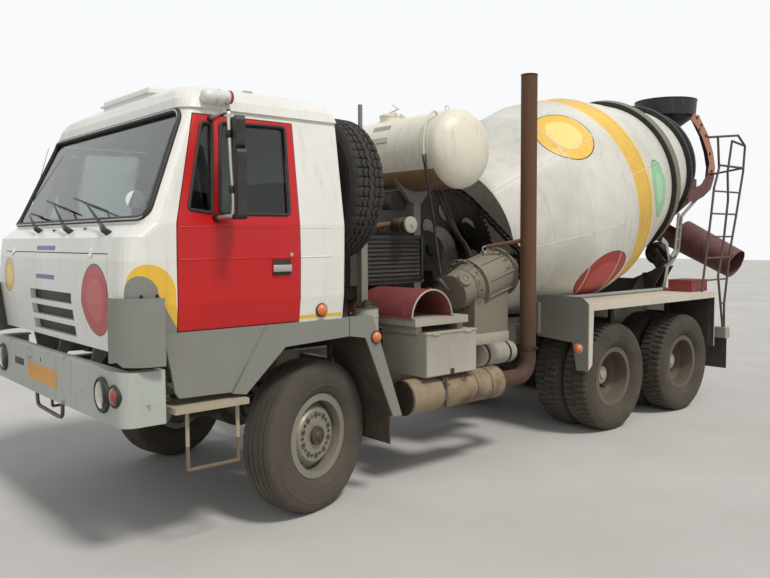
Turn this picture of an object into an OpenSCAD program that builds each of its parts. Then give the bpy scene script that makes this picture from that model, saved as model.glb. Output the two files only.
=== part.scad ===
// Concrete mixer truck with three axles, a tilting cab and a chain driven drum.
// Millimetres. Stations along X are counted from the front axle, forwards positive.
// +X points forwards, +Y to the vehicle's left, +Z up, and the ground is at Z = 0.

/* [Layout] */
// Distance of the front axle ahead of the origin
front_axle_x = 2800; // [2600:10:3000]
// Front axle to first rear axle
wheelbase = 3550; // [3450:10:3700]
// First rear axle to second rear axle
bogie_base = 1320; // [1250:10:1400]
// Height of the wheel centres, also the running radius of every tyre
wheel_z = 522; // [505:1:530]
// Half track of the front axle
front_half_track = 983; // [960:1:1000]
// Half track of the rear axles, middle of the twin wheels
rear_half_track = 887; // [870:1:900]
// Distance between the two wheels of a twin pair
twin_pitch = 330; // [312:1:345]
// Half width of the body over the mudguards
body_half_w = 1250; // [1230:1:1260]

/* [Wheels] */
// Widest part of a tyre, side to side
tyre_w = 293; // [280:1:300]
// Width of the tread band
tread_w = 216; // [200:1:230]
// Outer radius of the rim flange
flange_r = 291; // [285:1:298]
// Inner radius of the rim barrel
barrel_r = 243; // [238:1:246]
// Radius of the bead seat
bead_r = 254; // [250:1:258]
// Width of the rim between its flanges
rim_w = 206; // [196:1:214]
// Thickness of the rim flange
flange_t = 9; // [6:1:12]
// Stud circle radius of the wheel discs
stud_circle_r = 142; // [130:1:150]
// Number of wheel studs
stud_count = 10; // [8:1:12]
// Radius of the axle stub in the hub
stub_r = 45; // [40:1:50]
// Radial clearance of the hub on its stub
hub_clear = 0.3; // [0.2:0.1:0.5]

/* [Steering] */
// Steering angle of the front wheels as parked, to the left
parked_steer = 15.3; // [5:0.1:20]
// Half distance between the kingpins
kingpin_y = 860; // [840:1:870]
// Radius of a kingpin
kingpin_r = 22; // [18:1:26]
// Radius of the knuckle's swivel housing
swivel_r = 58; // [52:1:64]
// Height of the swivel housing
swivel_h = 150; // [130:1:170]
// Distance of the track rod eyes behind the kingpins
rod_eye_back = 210; // [190:1:220]
// Distance of the track rod eyes inboard of the kingpins
rod_eye_in = 70; // [60:1:80]
// Radius of the track rod
rod_r = 18; // [14:1:20]

/* [Frame] */
// Height of the middle of the backbone tube
backbone_z = 650; // [630:1:680]
// Radius of the backbone tube
backbone_r = 125; // [110:1:135]
// Half distance between the frame rails, at their outer faces
rail_y = 440; // [420:1:450]
// Height of the rails' lower flange
rail_z = 820; // [800:1:840]
// Height of a frame rail
rail_h = 200; // [180:1:210]
// Width of a rail's flange
rail_w = 80; // [70:1:90]
// Web and flange thickness of the rails
rail_t = 10; // [8:1:12]
// Front end of the rails
rail_front = 1120; // [1080:1:1125]
// Length of the rails behind the last axle
rear_overhang = 910; // [830:1:930]
// Height of the mixer subframe on the rails
sub_h = 70; // [60:1:72]
// Front end of the mixer subframe
sub_front = -760; // [-800:1:-750]

/* [Cab] */
// Front face of the cab at the grille
cab_front = 1352; // [1340:1:1360]
// Rear wall of the cab at its foot
cab_rear = -170; // [-180:1:-160]
// Thickness of the cab's walls and doors
cab_wall = 38; // [32:1:44]
// Height of the underside of the cab's side
cab_z = 1338; // [1330:1:1345]
// Height of the front panel's lower edge
apron_z = 1222; // [1210:1:1240]
// Height of the crease along the sides and the front
crease_z = 1755; // [1740:1:1770]
// Height of the belt line
belt_z = 1965; // [1950:1:1975]
// Height of the gutter, where the roof begins
gutter_z = 2655; // [2640:1:2670]
// Height of the crown of the roof
roof_z = 2868; // [2850:1:2880]
// Radius of the cab's front corners
cab_corner_r = 120; // [100:1:140]
// Gap round the doors and the service flap
shut_gap = 6; // [5:0.5:8]
// Station of the doors' hinge axis
door_hinge_x = 1018; // [1012:1:1022]
// Station of the rear edge of the doors
door_rear_x = 190; // [180:1:200]
// Thickness of the window glass
glass_t = 6; // [5:1:8]
// Station of the cab's tilt pivot
tilt_x = 1300; // [1290:1:1310]
// Height of the cab's tilt pivot
tilt_z = 985; // [975:1:990]

/* [Bumper] */
// Front face of the bumper at the middle
bumper_front = 1395; // [1385:1:1400]
// Lower edge of the bumper
bumper_z = 830; // [820:1:840]
// Height of the bumper
bumper_h = 308; // [295:1:315]
// Wall of the bumper
bumper_t = 14; // [10:1:18]
// Half distance between the head lamps
lamp_y = 982; // [970:1:990]
// Radius of a head lamp
lamp_r = 92; // [85:1:98]

/* [Mixer] */
// Tilt of the drum's axis
drum_tilt = 15.37; // [15:0.01:15.7]
// Station of the drum's datum on its axis
drum_x = -3384; // [-3390:1:-3375]
// Height of the drum's datum on its axis
drum_z = 2086; // [2080:1:2095]
// Wall of the drum
drum_t = 8; // [6:1:10]
// Largest radius of the drum
drum_r = 1128; // [1115:1:1135]
// Radius of the drum's front rim
drum_nose_r = 750; // [740:1:760]
// Radius of the drum's mouth
mouth_r = 620; // [610:1:630]
// Pitch of the roller chain
chain_pitch = 50.8; // [50:0.1:51.5]
// Teeth of the drum's sprocket
drum_teeth = 68; // [68:4:72]
// Teeth of the driving sprocket
drive_teeth = 16; // [16:1:17]
// Links of the chain
chain_links = 78; // [78:2:80]
// Direction of the drive sprocket from the drum's axis, below the horizontal
drive_dir = 14.2; // [13:0.1:16]
// Radial gap between the tips of the teeth and the chain's rollers
chain_clear = 5; // [5:0.5:6]
// Radius of the two support rollers
roller_r = 125; // [115:1:130]
// Angle of the support rollers from straight below the axis
roller_angle = 32; // [28:1:36]
// Gap between the drum's track ring and its rollers
roller_gap = 0.5; // [0.3:0.1:1]

/* [Charging and discharge] */
// Station of the hopper's middle
hopper_x = -6500; // [-6510:1:-6490]
// Height of the hopper's rim
hopper_z = 3650; // [3640:1:3660]
// Radius of the hopper's rim
hopper_r = 385; // [375:1:395]
// Station of the chute's swing pivot
chute_x = -6440; // [-6450:1:-6430]
// Slope of the chute below the horizontal
chute_slope = 27; // [24:0.5:30]
// Radius of the chute's trough at its inner end
chute_r = 215; // [205:1:222]
// Length of the chute along its slope
chute_len = 1120; // [1080:1:1150]

/* [Plant behind the cab] */
// Station of the water tank's middle
tank_x = -1600; // [-1620:1:-1580]
// Height of the water tank's middle
tank_z = 2600; // [2590:1:2610]
// Radius of the water tank
tank_r = 320; // [310:1:325]
// Half length of the water tank's cylindrical part
tank_half_l = 930; // [900:1:950]
// Station of the exhaust stack
stack_x = -2320; // [-2330:1:-2300]
// Distance of the exhaust from the middle line
exhaust_y = 1080; // [1070:1:1085]
// Radius of the exhaust stack
stack_r = 70; // [65:1:74]
// Height of the top of the exhaust stack
stack_top = 3270; // [3250:1:3290]
// Station of the middle of the spare wheel
spare_x = -452; // [-460:1:-448]
// Distance of the spare wheel from the middle line
spare_y = 680; // [670:1:690]
// Height of the middle of the spare wheel
spare_z = 2240; // [2230:1:2250]

/* [Hidden] */
axle_2_x = -wheelbase;
axle_3_x = -wheelbase - bogie_base;
rail_rear = axle_3_x - rear_overhang;
mirror_across = [0, 1, 0];
sub_z = rail_z + rail_h;
deck_z = sub_z + sub_h;
wheel_off = front_half_track - kingpin_y;
rod_eye_z = wheel_z - 72;
rod_z = rod_eye_z - 50;
arm_t = 26;
tilt_pin_r = 28;
pivot_y = 300;
big = 6000;

// A point on a circle, and a fan of them from angle a0 to a1 in n steps
function on_circle(r, a) = [r * cos(a), r * sin(a)];
function arc(c, r, a0, a1, n) = [for (i = [0 : n]) c + on_circle(r, a0 + (a1 - a0) * i / n)];
// A rectangle with round corners about the origin
function rounded(w, h, r) = concat(
    arc([w / 2 - r, h / 2 - r], r, 0, 90, 6),
    arc([r - w / 2, h / 2 - r], r, 90, 180, 6),
    arc([r - w / 2, r - h / 2], r, 180, 270, 6),
    arc([w / 2 - r, r - h / 2], r, 270, 360, 6));
// The same points seen in a mirror, in reverse order
function flipped(pts) = [for (i = [len(pts) - 1 : -1 : 0]) [pts[i][0], -pts[i][1]]];

// Everything is drawn from the front axle and moved to the part's origin here
module place() {
    translate([front_axle_x, 0, 0])
        children();
}

// side is 1 on the left and -1 on the right
module on_side(side) {
    if (side > 0) {
        children();
    } else {
        mirror(mirror_across)
            children();
    }
}

module both_sides() {
    for (side = [1, -1])
        on_side(side)
            children();
}

// A flat outline drawn in X and Z, given its thickness from y0 to y1
module xz_plate(y0, y1) {
    translate([0, y1, 0])
        rotate([90, 0, 0])
            linear_extrude(y1 - y0)
                children();
}

// A flat outline drawn in Y and Z, given its thickness from x0 to x1
module yz_plate(x0, x1) {
    translate([x0, 0, 0])
        rotate([90, 0, 90])
            linear_extrude(x1 - x0)
                children();
}

module block(from, to) {
    translate(from)
        cube(to - from);
}

// A round bar from point a to point b
module bar(a, b, r, n = 24) {
    d = b - a;
    translate(a)
        rotate([0, acos(d[2] / norm(d)), atan2(d[1], d[0])])
            cylinder(r = r, h = norm(d), $fn = n);
}

// Round bars end to end through the points, with a ball at each bend
module bar_path(points, r, n = 12) {
    for (i = [0 : len(points) - 2])
        bar(points[i], points[i + 1], r, n);
    if (len(points) > 2)
        for (i = [1 : len(points) - 2])
            translate(points[i])
                sphere(r = r + 1.5, $fn = n);
}

module ring(r_out, r_in, h) {
    difference() {
        cylinder(r = r_out, h = h, $fn = 64);
        translate([0, 0, -1])
            cylinder(r = r_in, h = h + 2, $fn = 64);
    }
}

// Wheels. Each is drawn with its axis along Z and its outer side up, then laid on its axle.
// Columns of a tyre's side, from the bead to the tread: radius, distance from the middle plane
bead_y = rim_w / 2 - flange_t - 0.3;
tyre_side = [[bead_r, bead_y], [flange_r + 1, bead_y], [flange_r + 5, rim_w / 2 + 2],
    [flange_r + 42, tyre_w / 2 - 14], [flange_r + 96, tyre_w / 2], [wheel_z - 78, tyre_w / 2 - 4],
    [wheel_z - 26, tread_w / 2 + 18], [wheel_z, tread_w / 2]];
function tyre_section() = concat([for (p = tyre_side) [p[0], -p[1]]],
    [for (i = [len(tyre_side) - 1 : -1 : 0]) tyre_side[i]]);

module tyre_body() {
    color([0.13, 0.13, 0.13])
        rotate_extrude($fn = 72)
            polygon(tyre_section());
}

module rim_barrel() {
    ring(bead_r - 0.5, barrel_r, rim_w);
    for (z = [0, rim_w - flange_t])
        translate([0, 0, z])
            ring(flange_r, barrel_r, flange_t);
}

disc_t = 14;
hub_wall = 40;
hub_bore = stub_r + hub_clear;

// Front wheel: the disc bulges out past the rim's edge and carries the hub's cap
front_face = 78;
module front_rim() {
    color([0.72, 0.71, 0.66]) {
        translate([0, 0, -rim_w / 2])
            rim_barrel();
        difference() {
            rotate_extrude($fn = 64)
                polygon([[hub_bore + hub_wall, front_face], [stud_circle_r + 36, front_face],
                    [stud_circle_r + 58, front_face - 22], [barrel_r, 6], [barrel_r, 6 - disc_t],
                    [stud_circle_r + 48, front_face - 36], [stud_circle_r + 30, front_face - disc_t],
                    [hub_bore + hub_wall, front_face - disc_t]]);
            for (i = [0 : stud_count - 1])
                rotate(360 / stud_count * i) {
                    translate([stud_circle_r, 0, front_face - 40])
                        cylinder(r = 15, h = 60, $fn = 16);
                }
            for (i = [0 : 7])
                rotate(45 * i + 10)
                    translate([barrel_r - 26, 0, 0])
                        cylinder(r = 14, h = 90, $fn = 16);
        }
        difference() {
            translate([0, 0, -30])
                cylinder(r = hub_bore + hub_wall, h = front_face + 30, $fn = 48);
            translate([0, 0, -31])
                cylinder(r = hub_bore, h = 100, $fn = 48);
        }
        translate([0, 0, front_face])
            cylinder(r = 62, h = 26, $fn = 32);
    }
}

// Twin wheels: the discs meet on the middle plane, so the outer wheel is deeply dished
module twin_rims() {
    color([0.62, 0.61, 0.57]) {
        for (s = [1, -1])
            translate([0, 0, s * twin_pitch / 2 - rim_w / 2])
                rim_barrel();
        difference() {
            rotate_extrude($fn = 64)
                polygon([[hub_bore + hub_wall, disc_t], [stud_circle_r + 45, disc_t],
                    [barrel_r, twin_pitch / 2 - 40], [barrel_r, -twin_pitch / 2 + 40],
                    [stud_circle_r + 45, -disc_t], [hub_bore + hub_wall, -disc_t]]);
            for (i = [0 : 7])
                rotate(45 * i)
                    translate([stud_circle_r + 62, 0, -100])
                        cylinder(r = 16, h = 200, $fn = 16);
        }
        difference() {
            translate([0, 0, -60])
                cylinder(r = hub_bore + hub_wall, h = 190, $fn = 48);
            translate([0, 0, -61])
                cylinder(r = hub_bore, h = 161, $fn = 48);
        }
    }
}

module twin_tyres() {
    for (s = [1, -1])
        translate([0, 0, s * twin_pitch / 2])
            tyre_body();
}

// Lays a wheel on the rear axle at station x
module on_axle(x, side) {
    on_side(side)
        translate([x, rear_half_track, wheel_z])
            rotate([-90, 0, 0])
                children();
}

// Turns a steered piece about its kingpin. Both sides turn the same way
module steered(side) {
    translate([0, side * kingpin_y, 0])
        rotate(parked_steer)
            on_side(side)
                children();
}

module on_stub(side) {
    steered(side)
        translate([0, wheel_off, wheel_z])
            rotate([-90, 0, 0])
                children();
}

module tyre_front_left() { place() on_stub(1) tyre_body(); }
module rim_front_left() { place() on_stub(1) front_rim(); }
module tyre_front_right() { place() on_stub(-1) tyre_body(); }
module rim_front_right() { place() on_stub(-1) front_rim(); }
module tyres_middle_left() { place() on_axle(axle_2_x, 1) twin_tyres(); }
module rims_middle_left() { place() on_axle(axle_2_x, 1) twin_rims(); }
module tyres_middle_right() { place() on_axle(axle_2_x, -1) twin_tyres(); }
module rims_middle_right() { place() on_axle(axle_2_x, -1) twin_rims(); }
module tyres_rear_left() { place() on_axle(axle_3_x, 1) twin_tyres(); }
module rims_rear_left() { place() on_axle(axle_3_x, 1) twin_rims(); }
module tyres_rear_right() { place() on_axle(axle_3_x, -1) twin_tyres(); }
module rims_rear_right() { place() on_axle(axle_3_x, -1) twin_rims(); }

// Steering knuckle: swivel housing on the kingpin, stub axle outwards, arm inwards and back
module knuckle() {
    color([0.25, 0.24, 0.22]) {
        difference() {
            union() {
                translate([0, 0, wheel_z - swivel_h / 2])
                    cylinder(r = swivel_r, h = swivel_h, $fn = 48);
                translate([0, 20, wheel_z])
                    rotate([-90, 0, 0])
                        cylinder(r = stub_r, h = wheel_off + 40, $fn = 48);
                translate([0, swivel_r - 6, wheel_z])
                    rotate([-90, 0, 0])
                        cylinder(r = 70, h = 16, $fn = 48);
                translate([0, 0, rod_eye_z])
                    linear_extrude(arm_t)
                        difference() {
                            polygon([[-20, 40], [-30, -45], [-rod_eye_back + 10, -rod_eye_in - 26],
                                [-rod_eye_back - 24, -rod_eye_in - 22], [-rod_eye_back - 24, -rod_eye_in + 22],
                                [-60, 5]]);
                            translate([-rod_eye_back, -rod_eye_in])
                                circle(r = kingpin_r / 2 + hub_clear, $fn = 24);
                        }
            }
            translate([0, 0, wheel_z - swivel_h])
                cylinder(r = kingpin_r + hub_clear, h = 2 * swivel_h, $fn = 32);
        }
    }
}
module knuckle_left() { place() steered(1) knuckle(); }
module knuckle_right() { place() steered(-1) knuckle(); }

// The track rod hangs by its pin in the left arm's eye. Its right end passes below the right arm
function rod_eye(side) = [0, side * kingpin_y] + [
    -rod_eye_back * cos(parked_steer) + side * rod_eye_in * sin(parked_steer),
    -rod_eye_back * sin(parked_steer) - side * rod_eye_in * cos(parked_steer)];
module track_rod() {
    left = rod_eye(1);
    right = rod_eye(-1);
    place() color([0.22, 0.22, 0.2]) {
        bar([left[0], left[1], rod_z], [right[0], right[1], rod_z], rod_r);
        for (end = [left, right])
            translate([end[0], end[1], rod_z - 26])
                cylinder(r = 30, h = 52, $fn = 32);
        translate([left[0], left[1], rod_z])
            cylinder(r = kingpin_r / 2, h = rod_eye_z + arm_t - rod_z, $fn = 24);
    }
}

// Backbone tube with its final drive housings and the half axles that swing from them
module half_axle(x, y_end) {
    translate([x, backbone_r, backbone_z - 40])
        rotate([-90, 0, 0])
            cylinder(r1 = 130, r2 = 92, h = 160, $fn = 32);
    bar([x, backbone_r + 150, backbone_z - 42], [x, y_end, wheel_z], 66, 32);
}
module axle_group() {
    place() color([0.2, 0.19, 0.18]) {
        translate([axle_3_x - 160, 0, backbone_z])
            rotate([0, 90, 0])
                cylinder(r = backbone_r, h = 560 - axle_3_x + 160, $fn = 48);
        for (x = [0, axle_2_x, axle_3_x])
            translate([x, 0, backbone_z - 30])
                rotate([90, 0, 0])
                    cylinder(r = 185, h = 2 * backbone_r + 10, center = true, $fn = 48);
        both_sides() {
            half_axle(0, kingpin_y - swivel_r - 60);
            // Fork that carries the kingpin above and below the swivel housing
            for (z = [wheel_z - swivel_h / 2 - 5 - 24, wheel_z + swivel_h / 2 + 5])
                block([-24, kingpin_y - swivel_r - 70, z], [24, kingpin_y + 30, z + 24]);
            block([-24, kingpin_y - swivel_r - 70, wheel_z - swivel_h / 2 - 6],
                [24, kingpin_y - swivel_r - 34, wheel_z + swivel_h / 2 + 6]);
            translate([0, kingpin_y, wheel_z - swivel_h / 2 - 28])
                cylinder(r = kingpin_r, h = swivel_h + 56, $fn = 32);
            for (x = [axle_2_x, axle_3_x]) {
                half_axle(x, rear_half_track - 330);
                translate([x, rear_half_track - 345, wheel_z])
                    rotate([-90, 0, 0])
                        cylinder(r = stub_r, h = 400, $fn = 48);
                // Brake back plate
                translate([x, rear_half_track - 340, wheel_z])
                    rotate([-90, 0, 0])
                        cylinder(r = 205, h = 24, $fn = 48);
            }
            // Rear leaf spring, hung from the rail between the two rear axles
            rear_spring();
        }
    }
}
leaf_t = 18;
leaf_count = 8;
spring_half_l = 640;
spring_z = 648;
module rear_spring() {
    middle = (axle_2_x + axle_3_x) / 2;
    for (i = [0 : leaf_count - 1])
        block([middle - spring_half_l + i * 68, rail_y + 12, spring_z + i * leaf_t],
            [middle + spring_half_l - i * 68, rail_y + 92, spring_z + 0.01 + (i + 1) * leaf_t]);
    block([middle - 90, rail_y, spring_z - 8 + leaf_count * leaf_t], [middle + 90, rail_y + 110, rail_z + 60]);
    for (x = [middle - spring_half_l + 40, middle + spring_half_l - 40])
        block([x - 50, rail_y + 12, spring_z - 48], [x + 50, rail_y + 92, spring_z + 2]);
}

// Two channel rails, open inwards, tied by cross members and saddled on the backbone
module frame_rails() {
    place() color([0.23, 0.22, 0.2]) {
        both_sides()
            difference() {
                block([rail_rear, rail_y - rail_w, rail_z], [rail_front, rail_y, sub_z]);
                block([rail_rear - 1, rail_y - rail_w - 1, rail_z + rail_t],
                    [rail_front + 1, rail_y - rail_t, sub_z - rail_t]);
            }
        for (x = [-520, -1500, -2500, -3400, -4210, -5000, rail_rear + 30])
            block([x, -rail_y + rail_t, rail_z + 30], [x + 60, rail_y - rail_t, rail_z + rail_h - 30]);
        // Saddles on the backbone tube
        difference() {
            for (x = [-900, -2900, -4210])
                block([x - 70, -190, backbone_z + 60], [x + 70, 190, rail_z + 60]);
            translate([-5000, 0, backbone_z])
                rotate([0, 90, 0])
                    cylinder(r = backbone_r + 0.3, h = 5500, $fn = 48);
        }
        for (x = [-900, -2900, -4210])
            block([x - 70, -rail_y + rail_t, rail_z + rail_t], [x + 70, rail_y - rail_t, rail_z + 60]);
        // Cross tube on which the cab tilts
        translate([tilt_x, 0, tilt_z])
            rotate([90, 0, 0])
                cylinder(r = tilt_pin_r, h = 2 * rail_y - 80, center = true, $fn = 48);
        // Bracket that carries the bumper
        both_sides()
            block([rail_front - 90, rail_y - 60, bumper_z + 40], [bumper_front - 19, rail_y + 20, bumper_z + 160]);
    }
}

module drive_engine() {
    place() color([0.3, 0.3, 0.29])
        block([-380, -330, 812], [940, 330, cab_z - 60]);
}

// Rear fuel tank, on the right behind the cab
module fuel_tank() {
    place() color([0.33, 0.33, 0.31]) {
        difference() {
            xz_plate(-1200, -660)
                polygon(concat(arc([-840, 1060], 70, 90, 0, 5), arc([-840, 690], 70, 0, -90, 5),
                    arc([-1780, 690], 70, 270, 180, 5), arc([-1780, 1060], 70, 180, 90, 5)));
            xz_plate(-1194, -666)
                polygon(concat(arc([-840, 1060], 64, 90, 0, 5), arc([-840, 690], 64, 0, -90, 5),
                    arc([-1780, 690], 64, 270, 180, 5), arc([-1780, 1060], 64, 180, 90, 5)));
        }
        for (x = [-960, -1640])
            block([x - 30, -662, 900], [x + 30, -rail_y, 960]);
        translate([-1030, -1060, 1129])
            cylinder(r = 55, h = 40, $fn = 32);
    }
}

// Drum. In its own frame Z runs along the axis to the mouth, X is up and Y is left
module on_drum() {
    place()
        translate([drum_x, 0, drum_z])
            rotate([0, drum_tilt - 90, 0])
                children();
}

// Columns: distance along the axis, outer radius
drum_outline = [[-894, drum_nose_r], [-480, drum_nose_r + 150], [-60, drum_r - 65], [379, drum_r],
    [640, drum_r - 4], [971, drum_r - 32], [1756, 884], [2401, 729], [2750, mouth_r]];
function drum_radius(s) = lookup(s, drum_outline);
head_s = -700;
boss_r = 150;
ring_s = 1756;
ring_w = 94;
ring_r = 940;
roller_s = ring_s + ring_w / 2;
sprocket_s = -950;
sprocket_t = 20;

module drum_shell() {
    on_drum() color([0.88, 0.87, 0.83]) {
        rotate_extrude($fn = 96)
            polygon(concat(drum_outline_points(0), drum_outline_back(drum_t)));
        // Dished front head with its boss
        rotate_extrude($fn = 64)
            polygon([[60, head_s + 60], [drum_radius(head_s) - drum_t / 2, head_s],
                [drum_radius(head_s) - drum_t / 2, head_s - 12], [boss_r, head_s + 40],
                [boss_r, head_s - 20], [60, head_s - 20]]);
    }
}
function drum_outline_points(t) = [for (p = drum_outline) [p[1] - t, p[0]]];
function drum_outline_back(t) = [for (i = [len(drum_outline) - 1 : -1 : 0])
    [drum_outline[i][1] - t, drum_outline[i][0]]];

// Track ring on the drum, stiffening ring behind it and the rim of the mouth
module drum_band(s, w, r) {
    rotate_extrude($fn = 96)
        polygon([[drum_radius(s) + 0.3, s], [r, s], [r, s + w], [drum_radius(s + w) + 0.3, s + w]]);
}
module drum_rings() {
    on_drum() color([0.12, 0.12, 0.12]) {
        drum_band(ring_s, ring_w, ring_r);
        drum_band(2401, 40, 785);
        drum_band(2712, 36, 668);
    }
}

// Sprockets and chain lie in one plane across the drum's axis
big_r = chain_pitch / (2 * sin(180 / drum_teeth));
small_r = chain_pitch / (2 * sin(180 / drive_teeth));
chain_k = chain_links - (drum_teeth + drive_teeth) / 2;
chain_m = pow((drum_teeth - drive_teeth) / (2 * PI), 2);
drive_dist = chain_pitch * (chain_k + sqrt(chain_k * chain_k - 8 * chain_m)) / 4;
tangent_a = acos((big_r - small_r) / drive_dist);
chain_roller_r = 13;
tooth_h = 22;
shaft_r = 38;
trunnion_r = 60;
trunnion_s = -1230;

// Turns the plane so that X points from the drum's axis to the drive sprocket
module chain_plane() {
    on_drum()
        translate([0, 0, sprocket_s])
            rotate(90 + drive_dir)
                children();
}

// Toothed disc whose tips stay inside the chain by the running gap
module toothed(teeth, pitch_r, t) {
    tip = pitch_r - chain_roller_r - chain_clear;
    half = 180 / teeth;
    linear_extrude(t, center = true)
        polygon([for (i = [0 : teeth - 1]) for (k = [[-0.8, -1], [-0.32, 0], [0.32, 0], [0.8, -1]])
            on_circle(tip + k[1] * tooth_h, (2 * i + k[0]) * half)]);
}

module drum_sprocket() {
    inner = big_r - 150;
    on_drum() color([0.2, 0.19, 0.18])
        translate([0, 0, sprocket_s]) {
            difference() {
                toothed(drum_teeth, big_r, sprocket_t);
                for (i = [0 : 5])
                    rotate(60 * i)
                        translate([inner - 90, 0, -sprocket_t])
                            cylinder(r = 92, h = 2 * sprocket_t, $fn = 32);
            }
            cylinder(r = boss_r, h = head_s - 20 - sprocket_s, $fn = 48);
            translate([0, 0, trunnion_s - sprocket_s])
                cylinder(r = trunnion_r, h = sprocket_s - trunnion_s + 5, $fn = 48);
            translate([0, 0, -90])
                cylinder(r = 105, h = 90, $fn = 48);
        }
}

// Small sprocket on the gearbox's output shaft
module drive_sprocket() {
    chain_plane() color([0.18, 0.17, 0.16])
        translate([drive_dist, 0, 0]) {
            rotate(180 / drive_teeth)
                toothed(drive_teeth, small_r, sprocket_t);
            translate([0, 0, -60])
                cylinder(r = 58, h = 84, $fn = 32);
            translate([0, 0, -230])
                cylinder(r = shaft_r, h = 260, $fn = 48);
        }
}

// A point and heading on the chain's loop, at distance t along it from the upper run's end
arc_small = small_r * tangent_a * PI / 90;
arc_big = big_r * (360 - 2 * tangent_a) * PI / 180;
chain_run = drive_dist * sin(tangent_a);
chain_len = arc_small + arc_big + 2 * chain_run;
function chain_point(t) =
    t < arc_small ? concat([drive_dist, 0] + on_circle(small_r, tangent_a - t / small_r * 180 / PI))
    : t < arc_small + chain_run ? [drive_dist, 0] + on_circle(small_r, -tangent_a)
        + (t - arc_small) * [-sin(tangent_a), -cos(tangent_a)]
    : t < arc_small + chain_run + arc_big ? on_circle(big_r, -tangent_a
        - (t - arc_small - chain_run) / big_r * 180 / PI)
    : on_circle(big_r, tangent_a) + (t - arc_small - chain_run - arc_big) * [sin(tangent_a), -cos(tangent_a)];

// Roller chain: a roller at each joint, inner and outer plates in turn between them
plate_t = 5.5;
chain_inner = 15.5;
plate_h = 20;
module link_plate(a, b) {
    d = b - a;
    translate(a)
        rotate(atan2(d[1], d[0]))
            polygon([[-plate_h * 0.8, 0], [-plate_h * 0.35, plate_h], [norm(d) + plate_h * 0.35, plate_h],
                [norm(d) + plate_h * 0.8, 0], [norm(d) + plate_h * 0.35, -plate_h], [-plate_h * 0.35, -plate_h]]);
}
module chain() {
    step = chain_len / chain_links;
    chain_plane() color([0.16, 0.15, 0.15])
        for (i = [0 : chain_links - 1]) {
            a = chain_point(i * step);
            b = chain_point((i + 1) % chain_links * step);
            out = i % 2;
            translate([a[0], a[1], -chain_inner - 1.5 * plate_t])
                cylinder(r = chain_roller_r, h = 2 * chain_inner + 3 * plate_t, $fn = 6);
            for (z = [chain_inner + out * plate_t, -chain_inner - (1 + out) * plate_t])
                translate([0, 0, z])
                    linear_extrude(plate_t)
                        link_plate(a, b);
        }
}

// Mixer gearbox: ribbed casting in line with the drive sprocket, on a box under it
module gearbox() {
    color([0.47, 0.44, 0.38]) {
        chain_plane()
            translate([drive_dist, 0, 0]) {
                difference() {
                    translate([0, 0, -250])
                        cylinder(r = 105, h = 150, $fn = 48);
                    translate([0, 0, -236])
                        cylinder(r = shaft_r + 0.3, h = 200, $fn = 48);
                }
                translate([0, 0, -630])
                    cylinder(r = 200, h = 380, $fn = 48);
                translate([0, 0, -640])
                    cylinder(r = 220, h = 24, $fn = 48);
                translate([0, 0, -264])
                    cylinder(r = 220, h = 24, $fn = 48);
                translate([0, 0, -860])
                    cylinder(r1 = 150, r2 = 192, h = 235, $fn = 48);
                for (a = [22.5 : 45 : 337.5])
                    rotate(a)
                        translate([190, -7, -628])
                            cube([22, 14, 374]);
            }
        place() {
            block([-2230, 600, 980], [-1800, 930, 1470]);
            block([-2190, rail_y, 980], [-1850, 601, 1080]);
        }
    }
}

module roller(side) {
    on_drum()
        rotate(180 - side * roller_angle)
            translate([ring_r + roller_gap + roller_r, 0, roller_s])
                color([0.2, 0.19, 0.18]) {
                    cylinder(r = roller_r, h = ring_w + 10, center = true, $fn = 48);
                    cylinder(r = 30, h = ring_w + 100, center = true, $fn = 32);
                }
}
module roller_left() { roller(1); }
module roller_right() { roller(-1); }

ear_t = 24;
ear_gap = ring_w / 2 + 5 + 6;
module roller_bearing(side) {
    on_drum()
        rotate(180 - side * roller_angle)
            translate([ring_r + roller_gap + roller_r, 0, roller_s])
                difference() {
                    union() {
                        for (z = [ear_gap, -ear_gap - ear_t])
                            translate([-50, -75, z])
                                cube([roller_r + 85, 150, ear_t]);
                        translate([roller_r + 12, -120, -ear_gap - ear_t - 20])
                            cube([24, 240, 2 * (ear_gap + ear_t) + 40]);
                    }
                    cylinder(r = 30.3, h = 400, center = true, $fn = 32);
                }
}

// Rear stand: carries the rollers, and reaches up and back to hold the hopper
module rear_pedestal() {
    color([0.17, 0.17, 0.17]) {
        for (side = [1, -1])
            roller_bearing(side);
        place() {
            for (x = [-5500, -5330])
                yz_plate(x, x + 22)
                    polygon([[-rail_y, deck_z], [rail_y, deck_z], [700, 1545], [560, 1500],
                        [260, 1380], [-260, 1380], [-560, 1500], [-700, 1545]]);
            both_sides()
                xz_plate(rail_y - 22, rail_y)
                    polygon([[-4850, deck_z], [-5600, deck_z], [-5520, 1460], [-5300, 1460]]);
            // Arm and fixed post on which the chute swings
            difference() {
                translate([0, 0, deck_z])
                    linear_extrude(60)
                        polygon([[rail_rear + 60, rail_y], [chute_x - 60, 70], [chute_x - 60, -70],
                            [rail_rear + 60, -rail_y], [rail_rear + 60, -rail_y + 90], [chute_x + 120, 0],
                            [rail_rear + 60, rail_y - 90]]);
                block([rail_rear, -big, 0], [big, big, deck_z + 1]);
            }
            translate([chute_x, 0, deck_z])
                cylinder(r = 62, h = post_top - 300 - deck_z, $fn = 48);
            translate([chute_x, 0, deck_z + 10])
                cylinder(r = post_r, h = post_top - deck_z - 10, $fn = 48);
        }
    }
}

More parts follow.
